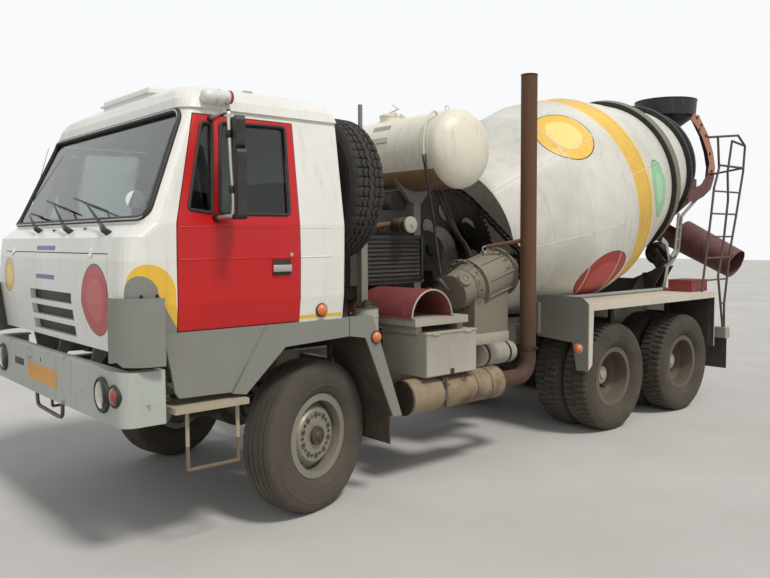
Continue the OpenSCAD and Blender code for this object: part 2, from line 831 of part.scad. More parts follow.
// Rails of the mixer frame on the truck's rails, with the front bearing stand
module subframe() {
    place() color([0.42, 0.42, 0.4]) {
        both_sides()
            block([rail_rear, rail_y - rail_w, sub_z], [sub_front, rail_y, deck_z]);
        // No cross member where the drum hangs low between the rails
        for (x = [-1500, -2460, rail_rear + 980, rail_rear + 180])
            block([x, -rail_y + rail_w - 1, sub_z + 8], [x + 90, rail_y - rail_w + 1, deck_z - 8]);
        both_sides()
            xz_plate(170, 200)
                polygon([[-2060, deck_z], [-2460, deck_z], [-2350, 1760], [-2180, 1810]]);
        block([-2460, -rail_y, deck_z - 1], [-2060, rail_y, deck_z + 20]);
        block([-2330, -200, 1560], [-2200, 200, 1640]);
    }
    on_drum() color([0.42, 0.42, 0.4])
        difference() {
            translate([0, 0, trunnion_s - 20])
                cylinder(r = 205, h = 150, $fn = 48);
            translate([0, 0, trunnion_s - 30])
                cylinder(r = trunnion_r + 0.3, h = 200, $fn = 48);
        }
}

module mixer_engine() {
    place() color([0.2, 0.2, 0.2]) {
        block([-1560, -280, 1500], [-760, 560, 1900]);
        block([-1480, -200, 1890], [-840, 480, 2110]);
        for (x = [-840, -1500])
            for (y = [-rail_y + 20, rail_y - 60])
                block([x, y, deck_z], [x + 50, y + 40, 1510]);
    }
}

module water_tank() {
    place() color([0.9, 0.88, 0.8])
        translate([tank_x, 0, tank_z])
            rotate([90, 0, 0]) {
                rotate_extrude($fn = 72)
                    polygon(concat([[0, -tank_half_l - 170]], dome(-1), dome(1), [[0, tank_half_l + 170]]));
                translate([0, 0, -120])
                    rotate([-90, 0, 0])
                        cylinder(r = 110, h = tank_r + 40, $fn = 32);
            }
}
// Half of a dished end: the knuckle is round and the crown is shallow
function dome(s) = s > 0 ? [for (a = [0 : 15 : 75]) [tank_r * cos(a), tank_half_l + 170 * sin(a)]]
    : [for (a = [75 : -15 : 0]) [tank_r * cos(a), -tank_half_l - 170 * sin(a)]];

// Frame behind the cab for the spare wheel, with the cradle of the water tank
module portal_frame() {
    place() color([0.4, 0.4, 0.38]) {
        both_sides() {
            block([-735, 745, sub_z - 100], [-675, 805, 2360]);
            block([tank_x - 40, rail_y - 70, deck_z], [tank_x + 40, rail_y, 2200]);
            xz_plate(rail_y - 60, rail_y - 10)
                difference() {
                    polygon([[tank_x - 260, 2400], [tank_x - 60, 2180], [tank_x + 60, 2180], [tank_x + 260, 2400]]);
                    translate([tank_x, tank_z])
                        circle(r = tank_r + 0.3, $fn = 72);
                }
            block([-735, rail_y, sub_z - 100], [-675, 760, sub_z - 30]);
        }
        for (z = [1960, 2290])
            block([-735, -800, z], [-675, 800, z + 60]);
        block([-676, spare_y - 90, spare_z - 90], [-640, spare_y + 90, spare_z + 90]);
        translate([-700, 770, 2350])
            cylinder(r = 17, h = 530, $fn = 24);
    }
}

module on_spare() {
    place()
        translate([spare_x, spare_y, spare_z])
            rotate([0, 90, 0])
                children();
}
module spare_tyre() { on_spare() tyre_body(); }
module spare_rim() {
    color([0.75, 0.72, 0.55])
        on_spare() {
            translate([0, 0, -rim_w / 2])
                rim_barrel();
            difference() {
                translate([0, 0, -20])
                    cylinder(r = barrel_r + 1, h = disc_t, $fn = 64);
                translate([0, 0, -50])
                    cylinder(r = 110, h = 100, $fn = 48);
                for (i = [0 : stud_count - 1])
                    rotate(360 / stud_count * i)
                        translate([stud_circle_r, 0, -50])
                            cylinder(r = 13, h = 100, $fn = 16);
            }
            translate([0, 0, -187.7])
                cylinder(r = 26, h = 200, $fn = 24);
            translate([0, 0, -6])
                cylinder(r = 130, h = 12, $fn = 32);
        }
}

// Silencer under the tool box, bend and upright stack
bend_r = 140;
muffler_z = 675;
module exhaust() {
    place() color([0.5, 0.34, 0.22]) {
        translate([-1880, exhaust_y, muffler_z])
            rotate([0, 90, 0])
                cylinder(r = 132, h = 1050, $fn = 48);
        translate([stack_x + bend_r, exhaust_y, muffler_z])
            rotate([0, 90, 0])
                cylinder(r = stack_r, h = -1880 - stack_x - bend_r + 1, $fn = 48);
        translate([stack_x + bend_r, exhaust_y, muffler_z + bend_r])
            rotate([90, 180, 0])
                rotate_extrude(angle = 90, $fn = 48)
                    translate([bend_r, 0])
                        circle(r = stack_r, $fn = 32);
        translate([stack_x, exhaust_y, muffler_z + bend_r])
            cylinder(r = stack_r, h = stack_top - muffler_z - bend_r, $fn = 48);
        translate([stack_x, exhaust_y, 905])
            cylinder(r = stack_r + 6, h = 22, $fn = 48);
        bar([-2060, 830, 1800], [stack_x, exhaust_y, 1860], 18, 16);
    }
}

// Platform beside the frame, with the tool box hung under it
module deck() {
    place() color([0.42, 0.43, 0.4]) {
        block([-1450, rail_y, 1216], [-880, 1180, 1272]);
        block([-1520, 700, 826], [-970, 1200, 1160]);
        for (x = [-1450, -1000])
            block([x, 760, 1150], [x + 60, 1120, 1220]);
        for (x = [-1460, -960])
            block([x, rail_y, 900], [x + 60, 720, 960]);
    }
}

// Half round chute carried across the platform, open side down
module spare_chute() {
    place() color([0.55, 0.16, 0.14])
        difference() {
            translate([-1085, 150, 1272])
                rotate([-90, 0, 0])
                    cylinder(r = chute_r, h = 1000, $fn = 48);
            translate([-1085, 149, 1272])
                rotate([-90, 0, 0])
                    cylinder(r = chute_r - 8, h = 1002, $fn = 48);
            block([-1400, 100, 1000], [-700, 1200, 1272]);
        }
}

// Cab. Columns: height, front, rear, half width, front and rear corner radius of a level section
cab_sections = [
    [apron_z, cab_front - 34, cab_rear, body_half_w - 42, cab_corner_r - 20, 20],
    [1500, cab_front, cab_rear - 2, body_half_w - 7, cab_corner_r, 20],
    [crease_z, cab_front - 6, cab_rear - 5, body_half_w - 3, cab_corner_r, 20],
    [belt_z - 78, cab_front - 26, cab_rear - 10, body_half_w - 7, cab_corner_r, 20],
    [belt_z, cab_front - 132, cab_rear - 14, body_half_w - 10, cab_corner_r - 15, 22],
    [gutter_z, cab_front - 447, cab_rear - 45, body_half_w - 148, cab_corner_r - 30, 24],
    // The gutter stands out all round, and the roof curves inwards from it
    [gutter_z + 1, cab_front - 438, cab_rear - 50, body_half_w - 130, cab_corner_r - 20, 30],
    [gutter_z + 60, cab_front - 448, cab_rear - 48, body_half_w - 150, cab_corner_r, 50],
    [gutter_z + 118, cab_front - 478, cab_rear - 38, body_half_w - 204, cab_corner_r + 30, 80],
    [gutter_z + 164, cab_front - 545, cab_rear - 10, body_half_w - 320, cab_corner_r + 60, 110],
    [gutter_z + 196, cab_front - 650, cab_rear + 40, body_half_w - 510, cab_corner_r + 90, 140],
    [roof_z, cab_front - 790, cab_rear + 110, body_half_w - 820, cab_corner_r + 110, 160]];
floor_z = cab_z + 40;

function section_points(s, inset, drop) =
    let (front = s[1] - inset, rear = s[2] + inset, half = s[3] - inset,
        r = max(s[4] - inset, 8), q = max(s[5] - inset, 4))
    [for (p = concat(arc([front - r, r - half], r, -90, 0, 6), arc([front - r, half - r], r, 0, 90, 6),
        arc([rear + q, half - q], q, 90, 180, 3), arc([rear + q, q - half], q, 180, 270, 3)))
        [p[0], p[1], s[0] - drop]];

// The cab's body shrunk all round by inset, as one skin over its level sections
section_n = 22;
module cab_body(inset) {
    count = len(cab_sections);
    last = (count - 1) * section_n;
    points = [for (s = cab_sections)
        each section_points(s, inset, s[0] > gutter_z + 1 ? inset : s[0] == apron_z && inset > 0 ? 9 : 0)];
    sides = [for (k = [0 : count - 2]) for (i = [0 : section_n - 1]) for (half = [0, 1])
        let (j = (i + 1) % section_n, a = k * section_n, b = a + section_n)
        half == 0 ? [a + i, b + i, b + j] : [a + i, b + j, a + j]];
    polyhedron(points = points, convexity = 6, faces = concat([[for (i = [0 : section_n - 1]) i]],
        [[for (i = [section_n - 1 : -1 : 0]) last + i]], sides));
}

// The wall between two depths under the outer skin
module cab_skin(from, to) {
    difference() {
        cab_body(from);
        cab_body(to);
    }
}

module softened(r) {
    offset(r = r, $fn = 24)
        offset(delta = -r)
            children();
}

// Outlines seen from the side, in X and Z
door_top_z = gutter_z - 33;
module door_outline() {
    polygon([[door_rear_x, cab_z - 10], [1040, cab_z - 10], [1044, crease_z], [1038, belt_z],
        [858, door_top_z], [door_rear_x - 40, door_top_z], [door_rear_x - 5, belt_z]]);
}
module quarter_window() {
    softened(18)
        polygon([[952, belt_z + 82], [808, gutter_z - 88], [738, gutter_z - 84], [802, belt_z + 62]]);
}
module main_window() {
    softened(26)
        polygon([[752, belt_z + 58], [680, gutter_z - 76], [212, gutter_z - 66], [256, belt_z + 60]]);
}
// Outlines seen from the front, in Y and Z
module screen_outline() {
    softened(60)
        polygon([[58 - body_half_w, belt_z + 30], [body_half_w - 58, belt_z + 30],
            [body_half_w - 188, gutter_z - 14], [188 - body_half_w, gutter_z - 14]]);
}
flap_half_w = 985;
flap_top = 1796;
module flap_outline() {
    polygon([[-flap_half_w - 10, flap_top], [flap_half_w + 10, flap_top], [flap_half_w, apron_z - 5],
        [-flap_half_w, apron_z - 5]]);
}

module cab_shell() {
    place() color([0.9, 0.89, 0.86])
        difference() {
            cab_body(0);
            // Below the floor only the front panel hangs down
            block([-400, -big, 1000], [1240, big, cab_z]);
            difference() {
                cab_body(cab_wall);
                block([-400, -big, 1000], [1240, big, floor_z]);
            }
            both_sides()
                xz_plate(900, 1400)
                    door_outline();
            yz_plate(600, 1500)
                screen_outline();
            yz_plate(1200, 1500)
                flap_outline();
        }
}

module windscreen() {
    place() color([0.6, 0.68, 0.7, 0.5])
        intersection() {
            cab_skin(14, 14 + glass_t);
            yz_plate(700, 1400)
                offset(delta = -1)
                    screen_outline();
        }
}

module door() {
    color([0.78, 0.1, 0.09])
        intersection() {
            cab_skin(0, cab_wall);
            xz_plate(900, 1400)
                difference() {
                    offset(delta = -shut_gap)
                        door_outline();
                    quarter_window();
                    main_window();
                }
            block([0, 900, cab_z + shut_gap], [1200, 1400, 2700]);
        }
}
module door_left() { place() door(); }
module door_right() { place() on_side(-1) door(); }

module door_glass() {
    color([0.6, 0.68, 0.7, 0.5])
        intersection() {
            cab_skin(15, 15 + glass_t);
            xz_plate(900, 1400)
                offset(delta = -0.5) {
                    quarter_window();
                    main_window();
                }
        }
}
module door_glass_left() { place() door_glass(); }
module door_glass_right() { place() on_side(-1) door_glass(); }

// Service flap with its three cooling slots
slot_h = 68;
slot_pitch = 104;
slot_z = 1264;
module service_flap() {
    place() color([0.9, 0.89, 0.86])
        intersection() {
            cab_skin(0, cab_wall);
            yz_plate(1200, 1500)
                difference() {
                    offset(delta = -shut_gap)
                        flap_outline();
                    for (i = [0 : 2])
                        translate([-410, slot_z + i * slot_pitch])
                            square([820, slot_h]);
                }
        }
}

// Grey panels under the cab: sill, front half of the wheel arch, and the wind deflector
arch_top = 1330;
seam_x = -200;
module cab_skirts() {
    place() color([0.5, 0.52, 0.5])
        both_sides() {
            xz_plate(body_half_w - 34, body_half_w - 12)
                polygon([[1130, cab_z], [1062, 990], [1040, 958], [700, 950], [440, cab_z]]);
            block([440, 1060, cab_z - 14], [1130, body_half_w - 20, cab_z]);
            xz_plate(body_half_w - 80, body_half_w)
                polygon([[698, 942], [448, cab_z], [seam_x, cab_z], [seam_x, 1214], [316, 1190], [606, 925]]);
            xz_plate(760, body_half_w - 79)
                polygon([[606, 925], [316, 1190], [seam_x, 1214], [seam_x, 1226], [322, 1202], [618, 933]]);
            block([seam_x, 1000, 1220], [seam_x + 60, 1180, cab_z]);
            deflector();
            // Arm of the tilt pivot, from the eye on the cross tube up to the cab's floor
            xz_plate(pivot_y, pivot_y + 34)
                difference() {
                    polygon(concat(arc([tilt_x, tilt_z], 56, -130, 100, 12), [[1196, 1104], [1180, 1200],
                        [1215, cab_z], [1070, cab_z], [1110, 1110]]));
                    translate([tilt_x, tilt_z])
                        circle(r = tilt_pin_r + 0.3, $fn = 48);
                }
        }
}
deflector_r = 232;
module deflector() {
    difference() {
        translate([1158, body_half_w - 170, 1168])
            rotate(2)
                rotate_extrude(angle = 90, $fn = 64)
                    translate([deflector_r - 5, 0])
                        square([5, 382]);
        // The lower front corner is cut off on a slant
        translate([1300, 900, 1100])
            rotate([0, 38, 0])
                cube([300, 300, 120]);
    }
    // Columns: height, centre of the cab's round corner in X and Y, distances of the bracket's two ends
    for (k = [[1230, 1218, body_half_w - 142, 104, 166], [1480, 1231, body_half_w - 128, 121.4, 147]])
        translate([k[1], k[2], k[0]])
            rotate(48)
                bar([k[3], 0, 0], [k[4], 0, 0], 12, 12);
}

// Seats, fascia, steering wheel and its column
module cab_interior() {
    place() color([0.22, 0.2, 0.19]) {
        for (y = [600, -600]) {
            block([150, y - 230, floor_z], [560, y + 230, 1560]);
            block([110, y - 250, 1560], [600, y + 250, 1680]);
            translate([300, 0, 0])
                rotate([0, -8, 0])
                    block([0, y - 240, 1660], [110, y + 240, 2270]);
        }
        block([1010, 120 - body_half_w, 1640], [1170, body_half_w - 120, 1930]);
        block([820, -300, floor_z], [1170, 300, 1640]);
        bar([1060, 600, 1700], [830, 600, 1985], 26);
        translate([800, 600, 2022])
            rotate([0, -39, 0]) {
                rotate_extrude($fn = 48)
                    translate([225, 0])
                        circle(r = 14, $fn = 16);
                block([-222, -18, -12], [222, 18, 6]);
                block([-18, -222, -12], [18, 222, 6]);
                translate([0, 0, -40])
                    cylinder(r = 50, h = 50, $fn = 32);
            }
    }
}

// Two mirrors on a bent tube that is held at the top and bottom of the door's window
module mirrors() {
    color([0.15, 0.15, 0.15]) {
        bar_path([[742, body_half_w - 131, 2592], [742, body_half_w + 80, 2612], [742, body_half_w + 122, 2010],
            [780, body_half_w - 12, 1999]], 12, 16);
        // Columns: height of the middle, width, height
        for (m = [[2188, 200, 400], [2480, 150, 190]])
            translate([722, body_half_w + 160, m[0]])
                rotate(-20)
                    difference() {
                        yz_plate(-24, 30)
                            polygon(rounded(m[1], m[2], 30));
                        yz_plate(-30, -20)
                            polygon(rounded(m[1] - 16, m[2] - 16, 22));
                    }
    }
}
module mirrors_left() { place() mirrors(); }
module mirrors_right() { place() on_side(-1) mirrors(); }

// Bumper: a folded channel with round corners, bowed a little at the middle
function bumper_half(t) = concat([[1130 + t, body_half_w - t]],
    arc([1300, body_half_w - 84], 84 - t, 90, 0, 6));
function bumper_plan(t) = concat(bumper_half(t), [[bumper_front - t, 0]], flipped(bumper_half(t)));
function bumper_back_half(t) = concat([[1130 - 1, body_half_w - t]],
    arc([1300, body_half_w - 84], 84 - t, 90, 0, 6));
function bumper_back(t) = concat(bumper_back_half(t), [[bumper_front - t, 0]], flipped(bumper_back_half(t)));
module bumper() {
    place() {
        color([0.68, 0.74, 0.72])
            difference() {
                translate([0, 0, bumper_z])
                    linear_extrude(bumper_h)
                        polygon(bumper_plan(0));
                translate([0, 0, bumper_z + bumper_t])
                    linear_extrude(bumper_h - 2 * bumper_t)
                        polygon(bumper_back(bumper_t));
                translate([0, 0, bumper_z - 1])
                    linear_extrude(bumper_h + 2)
                        polygon(bumper_back(75));
            }
        both_sides() {
            color([0.85, 0.85, 0.82])
                translate([1372, lamp_y, 987])
                    rotate([0, 90, 0])
                        cylinder(r = lamp_r, h = 24, $fn = 48);
            color([0.6, 0.12, 0.1])
                translate([1370, lamp_y + 142, 990])
                    rotate([0, 90, 0])
                        cylinder(r = 44, h = 22, $fn = 32);
        }
    }
}

// Step plates under the sills, each with a rope stirrup
module steps() {
    place() color([0.6, 0.58, 0.52])
        both_sides() {
            block([610, 1040, 876], [1092, 1290, 912]);
            for (x = [700, 960])
                block([x, rail_y, 880], [x + 40, 1041, 908]);
            for (x = [977, 642])
                bar([x, 1200, 516], [x, 1200, 880], 12, 12);
            bar([977, 1200, 516], [642, 1200, 516], 12, 12);
        }
}

// Back half of the front wheel arches, on the frame
module rear_mudguards() {
    edge = seam_x - shut_gap;
    place() color([0.5, 0.52, 0.5])
        both_sides() {
            xz_plate(body_half_w - 80, body_half_w)
                polygon([[edge, cab_z], [-408, cab_z], [-678, 600], [-596, 600], [-345, 1190], [edge, 1214]]);
            xz_plate(760, body_half_w - 79)
                polygon([[edge, 1214], [-345, 1190], [-596, 600], [-608, 606], [-354, 1202], [edge, 1226]]);
            block([-612, 800, 392], [-600, body_half_w - 50, 640]);
            block([-395, rail_y, sub_z - 60], [-350, 800, sub_z - 20]);
            block([-395, 765, sub_z - 60], [-370, 800, 1100]);
        }
}

// Flat topped mudguards over the twin wheels
fender_z = 1262;
fender_in = 674;
fender_front = axle_2_x + 560;
fender_rear = axle_3_x - 540;
module rear_fenders() {
    place() color([0.62, 0.62, 0.58])
        both_sides() {
            block([fender_rear, fender_in, fender_z - 10], [fender_front, body_half_w, fender_z]);
            block([fender_rear, body_half_w - 10, fender_z - 60], [fender_front - 70, body_half_w, fender_z]);
            yz_plate(fender_front, fender_front + 12)
                polygon([[fender_in, 1330], [1180, 1330], [body_half_w, 1270], [body_half_w, 646],
                    [1130, 646], [1080, 900], [fender_in, 930]]);
            xz_plate(body_half_w - 8, body_half_w)
                polygon([[fender_front + 5, 1270], [fender_front - 80, fender_z], [fender_front - 60, 700],
                    [fender_front + 5, 646]]);
            yz_plate(fender_rear, fender_rear + 10)
                polygon([[fender_in, fender_z], [body_half_w, fender_z], [body_half_w, 657], [fender_in, 657]]);
            for (x = [fender_front - 10, (axle_2_x + axle_3_x) / 2 - 30, fender_rear + 5]) {
                block([x, rail_y, 960], [x + 60, fender_in + 40, 1020]);
                block([x, fender_in, 960], [x + 60, fender_in + 40, fender_z - 5]);
            }
        }
}

// Cross beam behind the frame, with lamps and mud flaps
module rear_beam() {
    place() color([0.55, 0.56, 0.54]) {
        block([rail_rear - 106, -1200, 704], [rail_rear, 1200, 826]);
        both_sides() {
            block([rail_rear - 106, rail_y - 70, 820], [rail_rear, rail_y, 960]);
            block([rail_rear - 130, 820, 720], [rail_rear - 105, 1150, 812]);
            block([rail_rear - 60, 640, 350], [rail_rear - 48, 1190, 710]);
        }
    }
}

// Charging hopper with its spout into the drum's mouth, on two curved arms
hopper_wall = 6;
arm_y = 430;
// Side arm seen from the left, in X and Z: rear edge downwards, then front edge upwards
arm_outer = [[-6410, hopper_z - 210], [-6560, hopper_z - 250], [-6790, hopper_z - 450], [-6930, 2990],
    [-7000, 2800], [-6975, 2650], [-6890, 2500], [-6700, 2400], [-6480, 2330], [-6300, 2330]];
arm_inner = [[-6300, 2480], [-6480, 2500], [-6660, 2560], [-6790, 2680], [-6840, 2830], [-6770, 2990],
    [-6640, hopper_z - 500], [-6480, hopper_z - 370], [-6330, hopper_z - 290]];
stay_points = [[-6760, 2480], [-6195, 2140], [-6130, 1700], [-5660, 1300], [-5660, deck_z]];
module hopper() {
    spout_a = [hopper_x + 20, 0, hopper_z - 240];
    spout_b = [-5830, 0, 2960];
    place() color([0.13, 0.13, 0.14]) {
        difference() {
            union() {
                translate([hopper_x, 0, 0])
                    rotate_extrude($fn = 72)
                        polygon([[0, hopper_z - 320], [205, hopper_z - 320], [hopper_r - 12, hopper_z - 200],
                            [hopper_r, hopper_z], [0, hopper_z]]);
                bar(spout_a, spout_b, 200, 48);
            }
            translate([hopper_x, 0, 0])
                rotate_extrude($fn = 72)
                    polygon([[0, hopper_z - 310], [200, hopper_z - 310], [hopper_r - 12 - hopper_wall, hopper_z - 197],
                        [hopper_r - hopper_wall, hopper_z + 1], [0, hopper_z + 1]]);
            bar(spout_a + [15, 0, -12], spout_b + [75, 0, -60], 192, 48);
        }
        both_sides() {
            xz_plate(arm_y, arm_y + 12)
                polygon(concat(arm_outer, arm_inner));
            xz_plate(arm_y - 110, arm_y + 1)
                polygon(concat([for (i = [1 : 6]) arm_outer[i]], [for (i = [6 : -1 : 1]) arm_outer[i] + [9, -4]]));
            block([-6560, hopper_r - 40, hopper_z - 255], [-6400, arm_y + 12, hopper_z - 225]);
            // Stays down to the mixer frame, bent round the room that the chute swings in
            bar_path([for (p = stay_points) [p[0], arm_y - 17, p[1]]], 20, 16);
        }
    }
}

// Collector: guides the concrete from the mouth down into the chute
collector_out_r = 150;
collector_z = 2150;
collector_r = 425;
module collector() {
    color([0.42, 0.2, 0.15]) {
        place()
            both_sides()
                difference() {
                    block([chute_x - 130, collector_r - 40, 2400], [chute_x + 130, arm_y, 2478]);
                    translate([chute_x, 0, 2390])
                        cylinder(r = collector_r - 4, h = 100, $fn = 64);
                }
        difference() {
            place()
                translate([chute_x, 0, 0])
                    rotate_extrude($fn = 64)
                        polygon([[collector_out_r, collector_z], [collector_out_r + 8, collector_z],
                            [collector_r, 2400], [collector_r, 2620], [collector_r - 8, 2620],
                            [collector_r - 8, 2402]]);
            on_drum()
                translate([0, 0, 1900])
                    cylinder(r = 700, h = 880, $fn = 72);
        }
    }
}

module on_chute() {
    place()
        translate([chute_x, 0, chute_z])
            rotate([-chute_slope, 0, 0])
                children();
}
chute_z = 2050;
chute_wall = 6;
chute_back = 185;
chute_end_r = chute_r - 36;
ext_start = 330;
post_r = 40;
post_top = 1714;
function chute_r_at(y) = chute_r - (chute_r - chute_end_r) * y / chute_len;
// A tapered half pipe along Y; start is 0 for the lower half and 180 for the upper
module half_pipe(y0, y1, start) {
    rotate([-90, 0, 0])
        rotate(start)
            rotate_extrude(angle = 180, $fn = 64)
                polygon([[chute_r_at(y0) - chute_wall, y0], [chute_r_at(y0), y0], [chute_r_at(y1), y1],
                    [chute_r_at(y1) - chute_wall, y1]]);
}

module swing_chute() {
    color([0.16, 0.14, 0.18]) {
        on_chute() {
            half_pipe(-chute_back, chute_len, 0);
            // Plate that closes the inner end
            translate([0, -chute_back, 0])
                rotate([90, 0, 0])
                    rotate(180)
                        rotate_extrude(angle = 180, $fn = 64)
                            square([chute_r_at(-chute_back), 6]);
        }
        // Sleeve on the fixed post, welded under the trough
        difference() {
            place()
                translate([chute_x, 0, 0])
                    difference() {
                        translate([0, 0, post_top - 294])
                            cylinder(r = 60, h = 400, $fn = 48);
                        translate([0, 0, post_top - 300])
                            cylinder(r = post_r + 0.3, h = 306, $fn = 48);
                    }
            on_chute()
                translate([0, -chute_back, 0])
                    rotate([-90, 0, 0])
                        cylinder(r1 = chute_r_at(-chute_back) - 3, r2 = chute_end_r - 3,
                            h = chute_len + chute_back, $fn = 64);
        }
    }
}

module chute_extension() {
    on_chute() color([0.4, 0.13, 0.13])
        translate([0, 0, 0.5])
            half_pipe(ext_start, chute_len - 6, 180);
}

// Ladder to the hopper, at the left. Rails in Z and X, from the top down
ladder_y = 1150;
rail_a = [[2990, -5602], [2657, -5643], [2427, -5534], [2112, -5477], [1753, -5400], [fender_z + 4, -5300]];
rail_b = [[2985, -5946], [2623, -5854], [2303, -5880], [1772, -5782], [1429, -5676], [830, -5812]];
rail_c = [[2952, -6282], [2644, -6246], [2122, -6092], [1723, -5959], [1097, -5839], [830, -5850]];
module ladder() {
    place() color([0.3, 0.2, 0.18]) {
        for (rail = [rail_a, rail_b, rail_c])
            bar_path([for (p = rail) [p[1], ladder_y, p[0]]], 13);
        for (z = [2395, 2140, 1880, 1640, 1390, 1110])
            bar([lookup(z, rail_c), ladder_y, z],
                [z > fender_z ? lookup(z, rail_a) : lookup(z, rail_b), ladder_y, z], 10, 12);
        bar_path([[-5369, ladder_y, 2980], [-6095, ladder_y, 3060], [-6282, ladder_y, 2952]], 13);
        bar([-5946, ladder_y, 2985], [-6282, ladder_y, 2952], 13, 12);
        bar([-5602, ladder_y, 2990], [-5602, ladder_y, 3005], 13, 12);
        // Bracket from the hopper's arm
        bar([-5643, ladder_y, 2690], [-6246, ladder_y, 2690], 13, 12);
        bar([-6246, ladder_y, 2690], [-6850, arm_y + 24, 2690], 13, 12);
    }
}

// Water pipe along the left mudguard, and the wash water box
module wash_gear() {
    place() {
        color([0.7, 0.7, 0.66])
            bar([-3000, 748, fender_z + 20.3], [-5150, 748, fender_z + 20.3], 20, 16);
        color([0.5, 0.13, 0.12])
            block([-5560, 800, fender_z], [-5200, 1080, fender_z + 130]);
    }
}

axle_group();
frame_rails();
drive_engine();
bumper();
steps();
rear_mudguards();
fuel_tank();
deck();
exhaust();
spare_chute();
spare_tyre();
spare_rim();
portal_frame();
water_tank();
mixer_engine();
gearbox();
subframe();
rear_pedestal();
chain();
rear_fenders();
rear_beam();
hopper();
collector();
ladder();
wash_gear();
knuckle_left();
knuckle_right();
track_rod();
tyre_front_left();
rim_front_left();
tyre_front_right();
rim_front_right();
tyres_middle_left();
rims_middle_left();
tyres_middle_right();
rims_middle_right();
tyres_rear_left();
rims_rear_left();
tyres_rear_right();
rims_rear_right();
drive_sprocket();
drum_shell();
drum_rings();
drum_sprocket();
roller_left();
roller_right();
cab_shell();
windscreen();
cab_skirts();
cab_interior();
service_flap();
door_left();
door_glass_left();
mirrors_left();
door_right();
door_glass_right();
mirrors_right();
swing_chute();
chute_extension();
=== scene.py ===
# %% [markdown]
# # Dressing a concrete mixer truck
# The solid model of the truck arrives ready packed: wheels, frame, cab, drum and hopper as separate
# nodes that ride on moving bodies. This lesson gives those nodes their finishes and adds what a solid
# model leaves out, such as tyre tread, window rubbers, wipers, lamps, hoses, weld seams and grime.
# Everything is in metres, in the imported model's own frame, so a piece is made where it belongs.

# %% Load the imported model
import math
import bpy
import bmesh
from mathutils import Matrix, Vector


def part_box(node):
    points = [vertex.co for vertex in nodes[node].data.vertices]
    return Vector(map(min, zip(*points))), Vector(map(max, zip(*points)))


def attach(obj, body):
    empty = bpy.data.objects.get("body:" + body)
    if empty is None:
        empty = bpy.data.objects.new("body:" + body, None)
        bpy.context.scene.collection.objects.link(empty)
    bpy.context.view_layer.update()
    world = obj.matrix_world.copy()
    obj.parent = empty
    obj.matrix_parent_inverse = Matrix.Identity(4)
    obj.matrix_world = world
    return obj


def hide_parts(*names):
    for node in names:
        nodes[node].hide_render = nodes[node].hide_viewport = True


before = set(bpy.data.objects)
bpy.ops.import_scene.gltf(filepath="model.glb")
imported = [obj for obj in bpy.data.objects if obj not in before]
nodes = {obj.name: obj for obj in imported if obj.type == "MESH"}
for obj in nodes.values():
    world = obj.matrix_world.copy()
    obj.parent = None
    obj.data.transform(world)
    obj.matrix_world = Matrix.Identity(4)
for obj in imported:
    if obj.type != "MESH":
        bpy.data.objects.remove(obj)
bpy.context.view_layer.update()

# %% [markdown]
# ## Where things are
# A truck's drawing counts its stations from the front axle, in millimetres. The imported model's origin
# lies 2.8 m behind that axle. One small function turns drawing numbers into places in this frame, so
# every number below can be checked against a workshop drawing.

# %% Places
FRONT_AXLE_X = 2800

def at(x, y, z):
    """A place in the frame, in metres, from a station, a distance to the left and a height in millimetres."""
    return Vector(((x + FRONT_AXLE_X) / 1000, y / 1000, z / 1000))

def places(points):
    return [at(*point) for point in points]

FORWARD, LEFT, UP = (1, 0, 0), (0, 1, 0), (0, 0, 1)
SIDES = ((1, "left"), (-1, "right"))
print("front axle at x =", at(0, 0, 0).x, "m")

# %% [markdown]
# The camera stands to the left of the cab, at the height of a person's eyes. It is aimed by three angles
# and set by the length of its lens: 36.2 mm on a 36 mm wide sensor sees about 53 degrees. Its matrix is
# built from the three directions across, up and backwards, because a camera looks along its own -Z.

# %% The camera
EYE = (5.8401, 5.3470, 1.8661)
YAW, PITCH, ROLL = -131.0, -3.649, -0.301
IMAGE_WIDTH, FOCAL_PIXELS, SENSOR_WIDTH = 770, 774.76, 36.0

scene = bpy.context.scene
yaw, pitch, roll = (math.radians(a) for a in (YAW, PITCH, ROLL))
ahead = Vector((math.cos(pitch) * math.cos(yaw), math.cos(pitch) * math.sin(yaw), math.sin(pitch)))
level = Vector((math.sin(yaw), -math.cos(yaw), 0.0))
above = level.cross(ahead)
across = math.cos(roll) * level + math.sin(roll) * above
upward = across.cross(ahead)
lens = bpy.data.cameras.new("photo_lens")
lens.sensor_width = SENSOR_WIDTH
lens.lens = FOCAL_PIXELS / IMAGE_WIDTH * SENSOR_WIDTH
lens.clip_end = 200.0
camera = bpy.data.objects.new("photo_camera", lens)
camera.matrix_world = Matrix.Translation(EYE) @ Matrix((across, upward, -ahead)).transposed().to_4x4()
scene.collection.objects.link(camera)
scene.camera = camera
print("lens", round(lens.lens, 2), "mm")

# %% [markdown]
# ## Tools for pieces
# Each piece is shaped in a bmesh, Blender's editable mesh, with the same operators that the edit mode
# has. These helpers add one shape to a bmesh in its final place, so several can be joined in one piece.
# Straps, eyes and plates come up so often on a truck that each has a helper of its own.

# %% Shapes added to a bmesh
def placed(bm, verts, origin, axis=(0, 0, 1), side=None):
    """Moves verts from about the origin to a place, with their Z along axis and, if given, X near side."""
    z = Vector(axis).normalized()
    if side is None:
        turn = z.to_track_quat("Z", "Y").to_matrix()
    else:
        y = z.cross(Vector(side)).normalized()
        turn = Matrix((y.cross(z), y, z)).transposed()
    bmesh.ops.transform(bm, matrix=Matrix.Translation(origin) @ turn.to_4x4(), verts=verts)
    return verts

def edges_of(verts):
    """The edges at some vertices, each once."""
    return list(dict.fromkeys(e for v in verts for e in v.link_edges))

